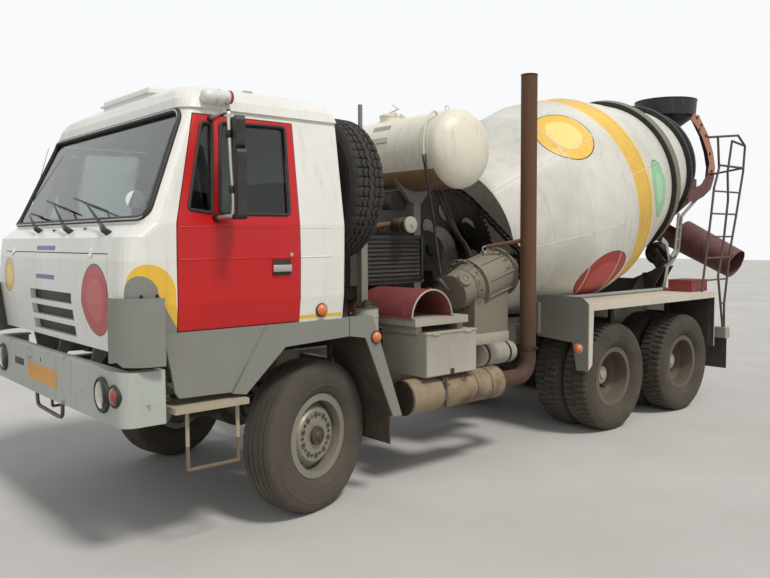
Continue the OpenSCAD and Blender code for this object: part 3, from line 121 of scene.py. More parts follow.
def add_block(bm, low, high, edge=0.0, steps=2, turn=None):
    """A box between two corners, with rounded edges. turn is applied about its middle."""
    made = bmesh.ops.create_cube(bm, size=1.0)["verts"]
    bmesh.ops.scale(bm, vec=high - low, verts=made)
    if turn is not None:
        bmesh.ops.transform(bm, matrix=turn.to_4x4(), verts=made)
    bmesh.ops.translate(bm, vec=(low + high) / 2, verts=made)
    if edge > 0:
        bmesh.ops.bevel(bm, geom=edges_of(made), offset=edge, offset_type="OFFSET", segments=steps,
                        profile=0.5, affect="EDGES", material=-1)

def add_rod(bm, a, b, radius, end_radius=None, sides=20, edge=0.0):
    """A round bar from a to b. Its rims are bevelled when edge is given."""
    a, b = Vector(a), Vector(b)
    made = bmesh.ops.create_cone(bm, cap_ends=True, cap_tris=False, segments=sides, radius1=radius,
                                 radius2=radius if end_radius is None else end_radius,
                                 depth=(b - a).length)["verts"]
    placed(bm, made, (a + b) / 2, b - a)
    if edge > 0:
        rims = [e for e in edges_of(made) if any(len(f.verts) > 4 for f in e.link_faces)]
        bmesh.ops.bevel(bm, geom=rims, offset=edge, offset_type="OFFSET", segments=2,
                        profile=0.5, affect="EDGES", material=-1)

def verts_in(items):
    """The vertices among an operator's results."""
    return [item for item in items if isinstance(item, bmesh.types.BMVert)]

def add_lathe(bm, profile, origin, axis, steps=48):
    """Spins points (radius, height) round an axis. A closed list of points makes a closed ring."""
    points = [bm.verts.new((r, 0.0, h)) for r, h in profile]
    lines = [bm.edges.new(pair) for pair in zip(points, points[1:])]
    spun = bmesh.ops.spin(bm, geom=points + lines, cent=(0, 0, 0), axis=(0, 0, 1), dvec=(0, 0, 0),
                          angle=math.tau, steps=steps, use_merge=True, use_normal_flip=False,
                          use_duplicate=False)
    made = set(points)
    made.update(verts_in(spun["geom_last"]))
    reach = list(made)
    while reach:
        v = reach.pop()
        for e in v.link_edges:
            w = e.other_vert(v)
            if w not in made:
                made.add(w)
                reach.append(w)
    bmesh.ops.remove_doubles(bm, verts=list(made), dist=1e-5)
    return placed(bm, [v for v in made if v.is_valid], origin, axis)

def add_band(bm, inner, outer, half, lip, origin, axis, steps=48):
    """A strap round a barrel: half is half its width at the barrel, lip the same at its outer face."""
    add_lathe(bm, [(inner, -half), (outer, -lip), (outer, lip), (inner, half), (inner, -half)], origin, axis,
              steps)

def add_eye(bm, inner, outer, thick, origin, axis, steps):
    """A ring of diamond section, such as a lifting eye or a chain link."""
    middle = (inner + outer) / 2
    add_lathe(bm, [(inner, 0.0), (middle, -thick), (outer, 0.0), (middle, thick), (inner, 0.0)], origin, axis,
              steps)

def add_slab(bm, outline, push):
    """A face through the points, pushed along a vector into a solid plate."""
    face = bm.faces.new([bm.verts.new(point) for point in outline])
    top = verts_in(bmesh.ops.extrude_face_region(bm, geom=[face])["geom"])
    bmesh.ops.translate(bm, vec=push, verts=top)
    return list(face.verts) + top

print("shape helpers ready")

# %% [markdown]
# `finished` turns the bmesh into an object that stays at the origin, rounds the shading except at sharp
# edges, and tells the frame which moving body carries it. A hose or a bent pipe is a curve with a round
# section instead, which stays smooth with only a few points.

# %% Pieces on their bodies
def rides(obj, body):
    """Puts the object in the scene and on a moving body."""
    scene.collection.objects.link(obj)
    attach(obj, body)
    return obj

def finished(name, bm, material, body, sharp=35.0):
    """Writes the bmesh to a named piece that rides on a body."""
    bmesh.ops.recalc_face_normals(bm, faces=bm.faces)
    mesh = bpy.data.meshes.new(name)
    bm.to_mesh(mesh)
    bm.free()
    mesh.materials.append(material)
    mesh.polygons.foreach_set("use_smooth", [True] * len(mesh.polygons))
    mesh.set_sharp_from_angle(angle=math.radians(sharp))
    return rides(bpy.data.objects.new(name, mesh), body)

def lathe_piece(name, profile, origin, axis, steps, material, body):
    """A piece that is a single lathe."""
    bm = bmesh.new()
    add_lathe(bm, profile, origin, axis, steps)
    return finished(name, bm, material, body)

def tube(name, points, radius, material, body, smooth=True, closed=False):
    """A round pipe or hose through the points, as a curve with a bevel."""
    curve = bpy.data.curves.new(name, "CURVE")
    curve.dimensions = "3D"
    curve.bevel_depth = radius
    curve.bevel_resolution = 4
    curve.resolution_u = 8
    curve.use_fill_caps = True
    line = curve.splines.new("BEZIER")
    line.bezier_points.add(len(points) - 1)
    line.use_cyclic_u = closed
    for knot, point in zip(line.bezier_points, points):
        knot.co = point
        knot.handle_left_type = knot.handle_right_type = "AUTO" if smooth else "VECTOR"
    curve.materials.append(material)
    return rides(bpy.data.objects.new(name, curve), body)

print("piece helpers ready")

# %% [markdown]
# ## Shared effects as node groups
# Work vehicles weather in a few repeated ways. Dust settles low down and in blotches, dirty water runs
# down in streaks, and paint chips to rust or primer in small islands. Each effect is a node group, built
# once, with inputs for its strength, so that every material can use it with its own values. A group only
# hands out colours, masks and heights. The shader stays in the material.

# %% Helpers for nodes
def new_group(name, inputs, outputs):
    """An empty node group with its sockets, and its two end nodes."""
    group = bpy.data.node_groups.new(name, "ShaderNodeTree")
    for label, kind, value in inputs:
        socket = group.interface.new_socket(name=label, in_out="INPUT", socket_type=kind)
        socket.default_value = value
    for label, kind in outputs:
        group.interface.new_socket(name=label, in_out="OUTPUT", socket_type=kind)
    return group, group.nodes.new("NodeGroupInput"), group.nodes.new("NodeGroupOutput")

def node(tree, kind, links=(), **values):
    """Adds a node, sets its properties and wires its inputs: links holds (input, socket or value)."""
    made = tree.nodes.new(kind)
    for key, value in values.items():
        setattr(made, key, value)
    for key, source in links:
        if isinstance(source, bpy.types.NodeSocket):
            tree.links.new(source, made.inputs[key])
        else:
            made.inputs[key].default_value = source
    return made

def object_place(tree):
    """The shaded point in the object's own coordinates."""
    return node(tree, "ShaderNodeTexCoord").outputs["Object"]

def noise(tree, where, scale, detail=4.0, roughness=0.55):
    return node(tree, "ShaderNodeTexNoise", [("Vector", where), ("Scale", scale), ("Detail", detail),
                                             ("Roughness", roughness)]).outputs["Fac"]

def ramp(tree, value, low, high, out_low=0.0, out_high=1.0):
    return node(tree, "ShaderNodeMapRange", [("Value", value), ("From Min", low), ("From Max", high),
                                             ("To Min", out_low), ("To Max", out_high)],
                interpolation_type="SMOOTHSTEP").outputs["Result"]

def maths(tree, operation, a, b, clamp=False):
    return node(tree, "ShaderNodeMath", [(0, a), (1, b)], operation=operation, use_clamp=clamp).outputs[0]

def vector_maths(tree, operation, a, b, output=0):
    return node(tree, "ShaderNodeVectorMath", [(0, a), (1, b)], operation=operation).outputs[output]

def mixed(tree, factor, a, b):
    """Colour a where factor is 0 and colour b where it is 1."""
    made = tree.nodes.new("ShaderNodeMix")
    made.data_type = "RGBA"
    for key, source in ((0, factor), (6, a), (7, b)):
        if isinstance(source, bpy.types.NodeSocket):
            tree.links.new(source, made.inputs[key])
        else:
            made.inputs[key].default_value = source
    return made.outputs[2]

print("node helpers ready")

# %% [markdown]
# Dust is one part height and one part blotches, so it lies thick below `Dust top` and thin above it. Runs
# are noise that is squeezed sideways into vertical streaks. Chips are the peaks of a fine noise. The three
# masks are laid over the paint in that order, and each makes the surface a little rougher.

# %% The weathering group
weather, w_in, w_out = new_group(
    "weathering",
    [("Paint", "NodeSocketColor", (0.8, 0.8, 0.8, 1)), ("Dust colour", "NodeSocketColor", (0.3, 0.25, 0.19, 1)),
     ("Dust", "NodeSocketFloat", 0.4), ("Dust top", "NodeSocketFloat", 1.6),
     ("Streaks", "NodeSocketFloat", 0.3), ("Chips", "NodeSocketFloat", 0.1),
     ("Chip colour", "NodeSocketColor", (0.12, 0.06, 0.035, 1)),
     ("Gloss", "NodeSocketFloat", 0.35), ("Scale", "NodeSocketFloat", 1.0)],
    [("Color", "NodeSocketColor"), ("Roughness", "NodeSocketFloat"), ("Height", "NodeSocketFloat")])
spot = object_place(weather)
scaled = node(weather, "ShaderNodeVectorMath", [(0, spot)], operation="SCALE")
weather.links.new(w_in.outputs["Scale"], scaled.inputs["Scale"])
spot_s = scaled.outputs[0]
high = node(weather, "ShaderNodeSeparateXYZ", [(0, spot)]).outputs[2]
low_down = maths(weather, "SUBTRACT", 1.0, node(weather, "ShaderNodeMapRange", [
    ("Value", high), ("From Min", 0.2), ("From Max", w_in.outputs["Dust top"])]).outputs[0])
blotch = ramp(weather, noise(weather, spot_s, 2.3, 6.0, 0.6), 0.35, 0.72)
fine = ramp(weather, noise(weather, spot_s, 34.0, 5.0, 0.65), 0.4, 0.7)
dusty = maths(weather, "ADD", maths(weather, "MULTIPLY", low_down, 0.55),
              maths(weather, "MULTIPLY", blotch, 0.45))
dusty = maths(weather, "MULTIPLY", dusty, maths(weather, "ADD", maths(weather, "MULTIPLY", fine, 0.5), 0.6))
dust_mask = maths(weather, "MULTIPLY", dusty, w_in.outputs["Dust"], clamp=True)
stretched = node(weather, "ShaderNodeMapping", [("Vector", spot_s), ("Scale", (9.0, 9.0, 0.7))]).outputs[0]
runs = ramp(weather, noise(weather, stretched, 2.4, 5.0, 0.6), 0.5, 0.78)
run_mask = maths(weather, "MULTIPLY", runs, w_in.outputs["Streaks"], clamp=True)
chip_noise = noise(weather, spot_s, 17.0, 8.0, 0.72)
chip_edge = maths(weather, "SUBTRACT", 0.78, maths(weather, "MULTIPLY", w_in.outputs["Chips"], 0.3))
chip_mask = maths(weather, "GREATER_THAN", chip_noise, chip_edge)
tone = ramp(weather, noise(weather, spot_s, 0.9, 3.0), 0.3, 0.7, 0.93, 1.04)
toned = node(weather, "ShaderNodeHueSaturation", [("Color", w_in.outputs["Paint"]), ("Value", tone)]).outputs[0]
coloured = mixed(weather, chip_mask, toned, w_in.outputs["Chip colour"])
run_colour = mixed(weather, 0.62, toned, w_in.outputs["Dust colour"])
coloured = mixed(weather, run_mask, coloured, run_colour)
coloured = mixed(weather, dust_mask, coloured, w_in.outputs["Dust colour"])
rough = maths(weather, "ADD", w_in.outputs["Gloss"], maths(weather, "MULTIPLY", dust_mask, 0.5))
rough = maths(weather, "ADD", rough, maths(weather, "MULTIPLY", run_mask, 0.2))
rough = maths(weather, "ADD", rough, maths(weather, "MULTIPLY", chip_mask, 0.4), clamp=True)
height = maths(weather, "SUBTRACT", maths(weather, "MULTIPLY", fine, 0.25),
               maths(weather, "MULTIPLY", chip_mask, 0.6))
weather.links.new(coloured, w_out.inputs["Color"])
weather.links.new(rough, w_out.inputs["Roughness"])
weather.links.new(height, w_out.inputs["Height"])
print("weathering group:", len(weather.nodes), "nodes")

# %% [markdown]
# ## Finishes
# A finish is a Principled shader fed by the weathering group. Old enamel keeps a little gloss under the
# dust, bare steel is darker and metallic, rubber is matt. Painted artwork, such as the yellow ring on the
# drum, goes into the paint colour before the weathering, so that dirt lies over it as on the real truck.
# `paint_over` lets a function draw such shapes from the object's own coordinates.

# %% The recipe of a finish
# Real dust, in a dark brown that also lays painted shade on the low parts of the truck
DUST_AND_SHADE = (0.22, 0.185, 0.145, 1)

def rgb(r, g, b):
    """A colour from 0-255 screen values, made linear as the shader wants it."""
    return tuple((c / 255) ** 2.2 for c in (r, g, b)) + (1.0,)

def new_material(name, viewport_colour):
    """A material with nodes, its tree and its Principled shader."""
    material = bpy.data.materials.new(name)
    material.use_nodes = True
    material.diffuse_color = viewport_colour
    return material, material.node_tree, material.node_tree.nodes["Principled BSDF"]

def finish(name, paint, gloss=0.4, dust=0.4, dust_top=1.6, streaks=0.3, chips=0.0, metal=0.0, coat=0.0,
           bump=0.0015, scale=1.0, dust_colour=DUST_AND_SHADE, chip_colour=(0.12, 0.06, 0.035, 1), paint_over=None):
    """A weathered Principled material. paint_over may change the paint before the dirt goes on."""
    material, tree, shader = new_material(name, paint)
    worn = tree.nodes.new("ShaderNodeGroup")
    worn.node_tree = weather
    for key, value in (("Paint", paint), ("Dust colour", dust_colour), ("Dust", dust), ("Dust top", dust_top),
                       ("Streaks", streaks), ("Chips", chips), ("Chip colour", chip_colour),
                       ("Gloss", gloss), ("Scale", scale)):
        worn.inputs[key].default_value = value
    if paint_over is not None:
        tree.links.new(paint_over(tree, paint), worn.inputs["Paint"])
    tree.links.new(worn.outputs["Color"], shader.inputs["Base Color"])
    tree.links.new(worn.outputs["Roughness"], shader.inputs["Roughness"])
    shader.inputs["Metallic"].default_value = metal
    shader.inputs["Coat Weight"].default_value = coat
    shader.inputs["Coat Roughness"].default_value = 0.12
    bumpy = node(tree, "ShaderNodeBump", [("Height", worn.outputs["Height"]), ("Strength", 0.6),
                                          ("Distance", bump)])
    tree.links.new(bumpy.outputs[0], shader.inputs["Normal"])
    return material

print("recipe ready, with", len(weather.interface.items_tree), "sockets on its group")

# %% [markdown]
# The truck wears some twenty plain finishes, so they are rows of one table, `M`. Every piece below asks
# for its finish by a short name, and in a table it is easy to shift one finish against the others.

# %% The table of finishes
cab_white = rgb(232, 230, 222)
red_paint = rgb(190, 16, 18)
grey_paint = rgb(128, 131, 124)

# Each row: name, paint, gloss, dust, how high the dust reaches, streaks, chips, and what else differs
M = {
    "skirt": finish("skirt_enamel", grey_paint, 0.42, 0.75, 1.9, 0.35, 0.08),
    "frame": finish("frame_paint", rgb(58, 54, 48), 0.62, 1.0, 1.5, 0.3, 0.3),
    "plant": finish("plant_paint", rgb(132, 130, 120), 0.5, 0.8, 2.2, 0.5, 0.2),
    "black": finish("black_enamel", rgb(28, 27, 28), 0.45, 0.35, 3.5, 0.25, 0.08),
    "maroon": finish("maroon_enamel", rgb(128, 54, 56), 0.5, 0.3, 3.4, 0.5, 0.25),
    "ladder": finish("ladder_steel", rgb(74, 58, 52), 0.6, 0.3, 3.0, 0.4, 0.35, chip_colour=rgb(96, 56, 38)),
    "tank": finish("tank_cream", rgb(228, 222, 200), 0.4, 0.3, 3.2, 0.4, 0.12),
    "casting": finish("cast_iron", rgb(126, 118, 102), 0.6, 0.6, 2.3, 0.6, 0.25, bump=0.003,
                      chip_colour=rgb(60, 48, 38)),
    "steel": finish("worn_steel", rgb(96, 92, 86), 0.42, 0.5, 2.0, 0.3, 0.3, metal=0.75,
                    chip_colour=rgb(70, 44, 30)),
    "oily": finish("oily_steel", rgb(40, 36, 32), 0.35, 0.35, 2.4, 0.3, 0.2, metal=0.6,
                   chip_colour=rgb(66, 42, 28)),
    "rusty": finish("rusty_steel", rgb(104, 66, 42), 0.72, 0.45, 2.6, 0.6, 0.55, bump=0.003,
                    chip_colour=rgb(72, 40, 26), dust_colour=rgb(150, 118, 88)),
    "silver": finish("rim_silver", rgb(150, 146, 132), 0.38, 0.5, 1.5, 0.25, 0.32, metal=0.35,
                     chip_colour=rgb(96, 62, 38)),
    "rim_tan": finish("rim_dusty", rgb(78, 68, 56), 0.6, 0.7, 1.6, 0.2, 0.2),
    "rim_cream": finish("rim_cream", rgb(186, 172, 122), 0.5, 0.5, 2.8, 0.4, 0.2),
    "trim": finish("cab_trim", rgb(38, 35, 33), 0.6, 0.15, 2.2, 0.0, bump=0.0008, scale=6.0),
    "plastic": finish("black_plastic", rgb(26, 26, 27), 0.5, 0.25, 2.8, 0.1, bump=0.0006, scale=8.0),
    "zinc": finish("zinc_tube", rgb(190, 188, 180), 0.35, 0.3, 2.2, 0.3, 0.15, metal=0.85),
    "engine": finish("engine_iron", rgb(48, 44, 40), 0.6, 0.5, 2.3, 0.5, 0.2, bump=0.003),
    "pale": finish("pale_rail", rgb(176, 170, 156), 0.55, 0.5, 2.4, 0.4, 0.3),
}
print("finishes:", len(M))

# %% [markdown]
# ## Painted shapes
# The drum wears a yellow ring and three coloured spots, and the cab's corner has a yellow arch round a
# grey half-round. A painted shape is a mask: a number that is 1 inside the shape and 0 outside. The masks
# come from the object's own coordinates. On the drum, distance along the axis and the angle round it make
# a flat map of the shell, so a spot is a circle on that map and bends with the metal.

# %% Masks drawn from coordinates
def axes(tree):
    """The shaded point and its three coordinates."""
    here = object_place(tree)
    return [here] + list(node(tree, "ShaderNodeSeparateXYZ", [(0, here)]).outputs)

def over(tree, value, limit):
    return maths(tree, "GREATER_THAN", value, limit)

def under(tree, value, limit):
    return maths(tree, "LESS_THAN", value, limit)

def size_of(tree, value):
    """The value without its sign, so that a mask covers both sides of the truck."""
    return node(tree, "ShaderNodeMath", [(0, value)], operation="ABSOLUTE").outputs[0]

def near(tree, value, centre, half):
    """1 where value lies within half of centre."""
    return node(tree, "ShaderNodeMath", [(0, value), (1, centre), (2, half)], operation="COMPARE").outputs[0]

def both(tree, a, b):
    """1 where both masks are 1."""
    return maths(tree, "MULTIPLY", a, b)

def length_of(tree, vector):
    return node(tree, "ShaderNodeVectorMath", [(0, vector)], operation="LENGTH").outputs["Value"]

def oval(tree, across, up, centre, size):
    """How far a point lies out in an ellipse: 0 at its centre and 1 on its edge."""
    flat = node(tree, "ShaderNodeCombineXYZ", [(0, across), (1, up)]).outputs[0]
    moved = vector_maths(tree, "SUBTRACT", flat, (*centre, 0))
    return length_of(tree, vector_maths(tree, "DIVIDE", moved, (*size, 1)))

def spot_paint(tree, colour, reach, deep, pale, ring):
    """A two-tone spot with a thin dark edge: reach is 1 on its outer edge, ring where its middle starts."""
    colour = mixed(tree, under(tree, reach, 1.0), colour, rgb(52, 44, 40))
    colour = mixed(tree, under(tree, reach, 0.965), colour, deep)
    return mixed(tree, under(tree, reach, ring), colour, pale)

print("mask helpers ready")

# %% [markdown]
# The drum's enamel is old white that has faded in patches. Over it lie the yellow ring with its pale rear
# edge, three spots, and the fine dark lines of the weld joints. Places on the map are given in metres
# along the axis, and round the shell at the radius where the map is rolled out.

# %% The drum's paintwork
drum_centre = at(-3384, 0, 2086)
drum_axis = Vector((-0.96423, 0.0, 0.26505))
drum_up = Vector((0.26505, 0.0, 0.96423))
MAP_RADIUS = 1.08
# Middle and half sizes on the map, colours of the rim and the middle, and where the middle starts
DRUM_SPOTS = (
    ((0.115, 0.81), (0.30, 0.33), rgb(236, 190, 74), rgb(244, 216, 128), 0.6),
    ((1.255, 1.72), (0.22, 0.33), rgb(140, 200, 146), rgb(166, 216, 170), 0.55),
    ((0.21, 2.42), (0.36, 0.30), rgb(176, 44, 44), rgb(192, 76, 72), 0.6))
# Places along the axis where two cones meet, and the straight joints: place round, from, to
DRUM_JOINTS = (-0.480, -0.060, 0.379, 1.440)
DRUM_SEAMS = ((0.98, -0.9, 0.379), (1.86, -0.9, 0.379), (2.9, -0.9, 0.379), (0.35, 0.379, 1.44),
              (1.45, 0.379, 1.44), (2.4, 0.379, 1.44))

def drum_places(tree, here):
    """How far a point lies along the drum's axis, and how far up across it."""
    out = vector_maths(tree, "SUBTRACT", here, drum_centre)
    return [vector_maths(tree, "DOT_PRODUCT", out, line, "Value") for line in (drum_axis, drum_up)]

def drum_artwork(tree, paint):
    here, _, y, _ = axes(tree)
    along, up = drum_places(tree, here)
    round_ = maths(tree, "MULTIPLY", maths(tree, "ARCTAN2", y, up), MAP_RADIUS)
    faded = ramp(tree, noise(tree, here, 1.3, 3.0), 0.35, 0.65)
    colour = mixed(tree, faded, paint, rgb(206, 203, 192))
    yellow = mixed(tree, faded, rgb(240, 196, 84), rgb(226, 178, 66))
    colour = mixed(tree, near(tree, along, 0.805, 0.165), colour, yellow)
    colour = mixed(tree, near(tree, along, 0.945, 0.020), colour, rgb(238, 212, 132))
    colour = mixed(tree, near(tree, along, 0.923, 0.0035), colour, rgb(96, 74, 40))
    for middle, size, deep, pale, ring in DRUM_SPOTS:
        colour = spot_paint(tree, colour, oval(tree, along, round_, middle, size), deep, pale, ring)
    for joint in DRUM_JOINTS:
        colour = mixed(tree, near(tree, along, joint, 0.003), colour, rgb(120, 114, 100))
    for turn, low, high in DRUM_SEAMS:
        line = both(tree, near(tree, round_, turn, 0.0025),
                    near(tree, along, (low + high) / 2, (high - low) / 2))
        colour = mixed(tree, line, colour, rgb(138, 132, 116))
    return colour

M["drum"] = finish("drum_enamel", rgb(226, 223, 213), gloss=0.52, dust=0.3, dust_top=2.6, streaks=0.4,
                   chips=0.04, coat=0.03, bump=0.0012, paint_over=drum_artwork)
print("drum's paint:", len(M["drum"].node_tree.nodes), "nodes")

# %% [markdown]
# The cab's corner is read along a line at 45 degrees to the front, where the arch is an upright half
# oval. Below the arch's foot the grey half-round spreads out towards the sill. A yellow strip runs behind
# the door's foot. The front wears two spots and two short bars, which only show on faces that lie far
# enough forwards.

# %% The cab's paintwork
yellow_paint = rgb(236, 188, 58)
ARCH_FOOT, NOSE_X, LEFT_Y, CORNER_X = 1.568, 3.98, 0.9, 3.6
CORNER_LINE = (0.70711, -0.70711, 0)
HALF_ROUND = ((2.000, 0.0), (0.083, 0.104))
# Middle and half sizes across the front, and the colours of the rim and the middle
FRONT_SPOTS = (((0.800, 1.520), (0.215, 0.215), rgb(178, 40, 40), rgb(196, 72, 66)),
               ((-0.905, 1.620), (0.125, 0.125), rgb(232, 184, 62), rgb(240, 208, 118)))

def cab_artwork(tree, paint):
    here, x, y, z = axes(tree)
    corner = vector_maths(tree, "DOT_PRODUCT", here, CORNER_LINE, "Value")
    on_left = over(tree, y, LEFT_Y)
    left_front = both(tree, on_left, over(tree, x, CORNER_X))
    rise = maths(tree, "MAXIMUM", maths(tree, "SUBTRACT", z, ARCH_FOOT), 0.0)
    arch = under(tree, oval(tree, corner, rise, (1.962, 0.0), (0.120, 0.167)), 1.0)
    half_round = under(tree, oval(tree, corner, rise, *HALF_ROUND), 1.0)
    below = maths(tree, "MAXIMUM", maths(tree, "SUBTRACT", ARCH_FOOT, z), 0.0)
    spread = maths(tree, "ADD", corner, maths(tree, "MULTIPLY", below, 0.34))
    half_round = maths(tree, "MAXIMUM", half_round, under(tree, oval(tree, spread, rise, *HALF_ROUND), 1.0))
    colour = mixed(tree, both(tree, arch, left_front), paint, yellow_paint)
    colour = mixed(tree, both(tree, half_round, left_front), colour, grey_paint)
    foot = both(tree, near(tree, z, 1.368, 0.012), both(tree, near(tree, x, 2.82, 0.17), on_left))
    colour = mixed(tree, foot, colour, yellow_paint)
    front = over(tree, x, NOSE_X)
    behind = maths(tree, "MULTIPLY", under(tree, x, NOSE_X), 9.0)
    for middle, size, deep, pale in FRONT_SPOTS:
        reach = maths(tree, "ADD", oval(tree, y, z, middle, size), behind)
        colour = spot_paint(tree, colour, reach, deep, pale, 0.6)
    for bar_z in (1.630, 1.822):
        bar = both(tree, near(tree, y, -0.088, 0.187), near(tree, z, bar_z, 0.015))
        colour = mixed(tree, both(tree, bar, front), colour, rgb(52, 84, 150))
    return colour

M["cab"] = finish("cab_enamel", cab_white, gloss=0.34, dust=0.22, dust_top=2.0, streaks=0.28, chips=0.05,
                  coat=0.2, bump=0.001, paint_over=cab_artwork)
M["door"] = finish("door_enamel", red_paint, gloss=0.36, dust=0.06, dust_top=1.7, streaks=0.12, chips=0.03,
                   coat=0.1, bump=0.001, dust_colour=rgb(150, 80, 66))
print("painted finishes ready")

# %% [markdown]
# ## Parts in two colours
# Some solids are painted in more than one colour, or hold parts that were made of different things: the
# cream silencer under its brown stack, the hopper's black cone between tan arms, the rubber flaps below
# the rear beam. Each gets one material, and a mask from its own coordinates parts the colours. On the rear
# fenders a mask also lays painted shade under the roof and on the front plate.

# %% Parts in two colours
SILENCER_FRONT, BODY_SIDE, FENDER_TOP, TANK_SEAM = 1.970, 1.250, 1.262, 0.930
FENDER_PLATE_X, HOPPER_FOOT_Z, TANK_BROWN_Z = -0.193, 2.33, 2.43

def exhaust_paint(tree, paint):
    """A brown stack that is darker at its foot, and a worn cream silencer with a black front end."""
    here, x, _, z = axes(tree)
    silencer = both(tree, over(tree, x, 0.915), under(tree, z, 0.86))
    worn = ramp(tree, noise(tree, here, 3.0, 6.0, 0.65), 0.42, 0.7)
    cream = mixed(tree, worn, rgb(150, 134, 110), rgb(92, 72, 54))
    colour = mixed(tree, ramp(tree, z, 0.8, 2.0), rgb(60, 38, 27), paint)
    colour = mixed(tree, silencer, colour, cream)
    return mixed(tree, both(tree, silencer, over(tree, x, SILENCER_FRONT - 0.004)), colour, rgb(30, 26, 24))

def hopper_paint(tree, paint):
    """A black cone, arms that are tan above and maroon below, and pale stays."""
    _, _, y, z = axes(tree)
    face = over(tree, size_of(tree, y), 0.441)
    arm = mixed(tree, over(tree, z, 2.72), rgb(92, 34, 34), rgb(168, 112, 88))
    colour = mixed(tree, both(tree, face, over(tree, z, HOPPER_FOOT_Z)), paint, arm)
    return mixed(tree, under(tree, z, HOPPER_FOOT_Z), colour, rgb(150, 144, 132))

def ring_paint(tree, paint):
    """Black rings, with the bare grey track that the rollers run on."""
    here, _, y, _ = axes(tree)
    along, up = drum_places(tree, here)
    reach = length_of(tree, node(tree, "ShaderNodeCombineXYZ", [(0, up), (1, y)]).outputs[0])
    track = both(tree, over(tree, reach, 0.93), near(tree, along, 1.806, 0.046))
    return mixed(tree, track, paint, rgb(112, 116, 98))

def beam_paint(tree, paint):
    """A pale beam with black rubber flaps below it."""
    z = axes(tree)[3]
    return mixed(tree, under(tree, z, 0.705), paint, rgb(26, 26, 28))

def fender_paint_and_shade(tree, paint):
    """Pale outside and on top. Painted shade makes it dark under the roof and behind the front plate, and greys
    the front plate.
    """
    _, x, y, z = axes(tree)
    inner = both(tree, under(tree, size_of(tree, y), BODY_SIDE - 0.004), under(tree, z, FENDER_TOP - 0.004))
    # painted shade: dark under the fender's roof and behind its front plate
    colour = mixed(tree, both(tree, inner, under(tree, x, FENDER_PLATE_X)), paint, rgb(40, 39, 36))
    # painted shade: the front plate, which faces forwards, is greyed
    return mixed(tree, over(tree, x, FENDER_PLATE_X), colour, rgb(120, 120, 110))

def tank_paint(tree, paint):
    """A cream tank, brown below and darker towards its bottom, between its end seams."""
    _, _, y, z = axes(tree)
    low = both(tree, under(tree, z, TANK_BROWN_Z), under(tree, size_of(tree, y), TANK_SEAM))
    # brown below the barrel's middle, darker towards its bottom
    brown_below = mixed(tree, ramp(tree, z, 2.2, TANK_BROWN_Z), rgb(74, 56, 40), rgb(150, 122, 84))
    return mixed(tree, low, paint, brown_below)

def step_paint(tree, paint):
    """A pale step plate on rusty stirrups."""
    z = axes(tree)[3]
    return mixed(tree, under(tree, z, 0.66), paint, rgb(104, 88, 70))

def wash_paint(tree, paint):
    """A maroon box with grey pipes in front of it."""
    x = axes(tree)[1]
    return mixed(tree, over(tree, x, -2.395), paint, rgb(150, 152, 146))

def mudguard_paint(tree, paint):
    """The hollow side of a mudguard is brown-black with mud."""
    here, _, y, z = axes(tree)
    hollow = both(tree, under(tree, size_of(tree, y), 1.236), under(tree, z, 1.205))
    muddy = mixed(tree, ramp(tree, noise(tree, here, 2.0, 5.0), 0.35, 0.7), rgb(34, 30, 27), rgb(66, 54, 42))
    return mixed(tree, hollow, paint, muddy)

print("two-colour paints ready")

# %% [markdown]
# The finishes that use them go into the same table, and their numbers come in its order. Two plain ones
# join them here: the chute's maroon, which is rougher than the trough's and darker, partly as painted shade
# on a chute that hangs in shadow, and the brown iron of the front hubs.

# %% Finishes with two colours
M["steps"] = finish("step_steel", rgb(170, 158, 136), 0.6, 0.35, 1.2, 0.4, 0.35,
                    bump=0.004, scale=2.0, paint_over=step_paint)
M["wash"] = finish("wash_enamel", rgb(134, 44, 46), 0.5, 0.3, 2.0, 0.4, 0.15, paint_over=wash_paint)
M["mudguard"] = finish("mudguard_enamel", grey_paint, 0.42, 0.45, 1.9, 0.35, 0.08, paint_over=mudguard_paint)
# partly painted shade: this maroon is darker than the other maroon parts
M["chute"] = finish("chute_enamel_and_shade", rgb(92, 46, 46), 0.55, 0.35, 3.0, 0.6, 0.2)
M["hub"] = finish("hub_iron", rgb(74, 58, 44), 0.55, 0.4, 1.5, 0.2, 0.3, metal=0.3)
M["exhaust"] = finish("exhaust_steel", rgb(92, 62, 42), 0.72, 0.35, 2.2, 0.5, 0.4, bump=0.003,
                      chip_colour=rgb(66, 38, 26), dust_colour=rgb(120, 96, 72), paint_over=exhaust_paint)
M["hopper"] = finish("hopper_enamel", rgb(27, 27, 29), 0.5, 0.3, 3.9, 0.35, 0.12, paint_over=hopper_paint)
M["rings"] = finish("ring_steel", rgb(24, 23, 24), 0.5, 0.25, 3.6, 0.2, 0.06, paint_over=ring_paint)
M["beam"] = finish("beam_paint", rgb(160, 156, 144), 0.6, 0.4, 1.6, 0.4, 0.2, paint_over=beam_paint)
M["fender"] = finish("fender_enamel_and_shade", rgb(206, 198, 180), 0.55, 0.4, 2.2, 0.4, 0.2, paint_over=fender_paint_and_shade)
M["water_tank"] = finish("tank_enamel", rgb(234, 228, 208), 0.4, 0.25, 2.6, 0.45, 0.1, paint_over=tank_paint)
print("finishes:", len(M))

# %% [markdown]
# ## Rubber, glass and the bumper
# Tyre rubber is almost black when new and brown with dried mud in use, most of all on the side walls.
# The bumper's pale paint has come off where it has been knocked, at its left corner. Glass is a clear
# Principled shader with full transmission, and a film of dust changes only its roughness and tint.

# %% Rubber, glass and bumper
def knocked_corner(tree, paint):
    """Paint that is rubbed in patches and bare where it has been knocked."""
    here, _, y, _ = axes(tree)
    knocks = noise(tree, here, 7.0, 9.0, 0.72)
    rubbed = mixed(tree, ramp(tree, knocks, 0.58, 0.66), paint, rgb(126, 128, 118))
    side = ramp(tree, y, 0.8, 1.25, 0.0, 0.07)
    bare = over(tree, maths(tree, "ADD", knocks, side), 0.725)
    return mixed(tree, bare, rubbed, rgb(112, 98, 80))

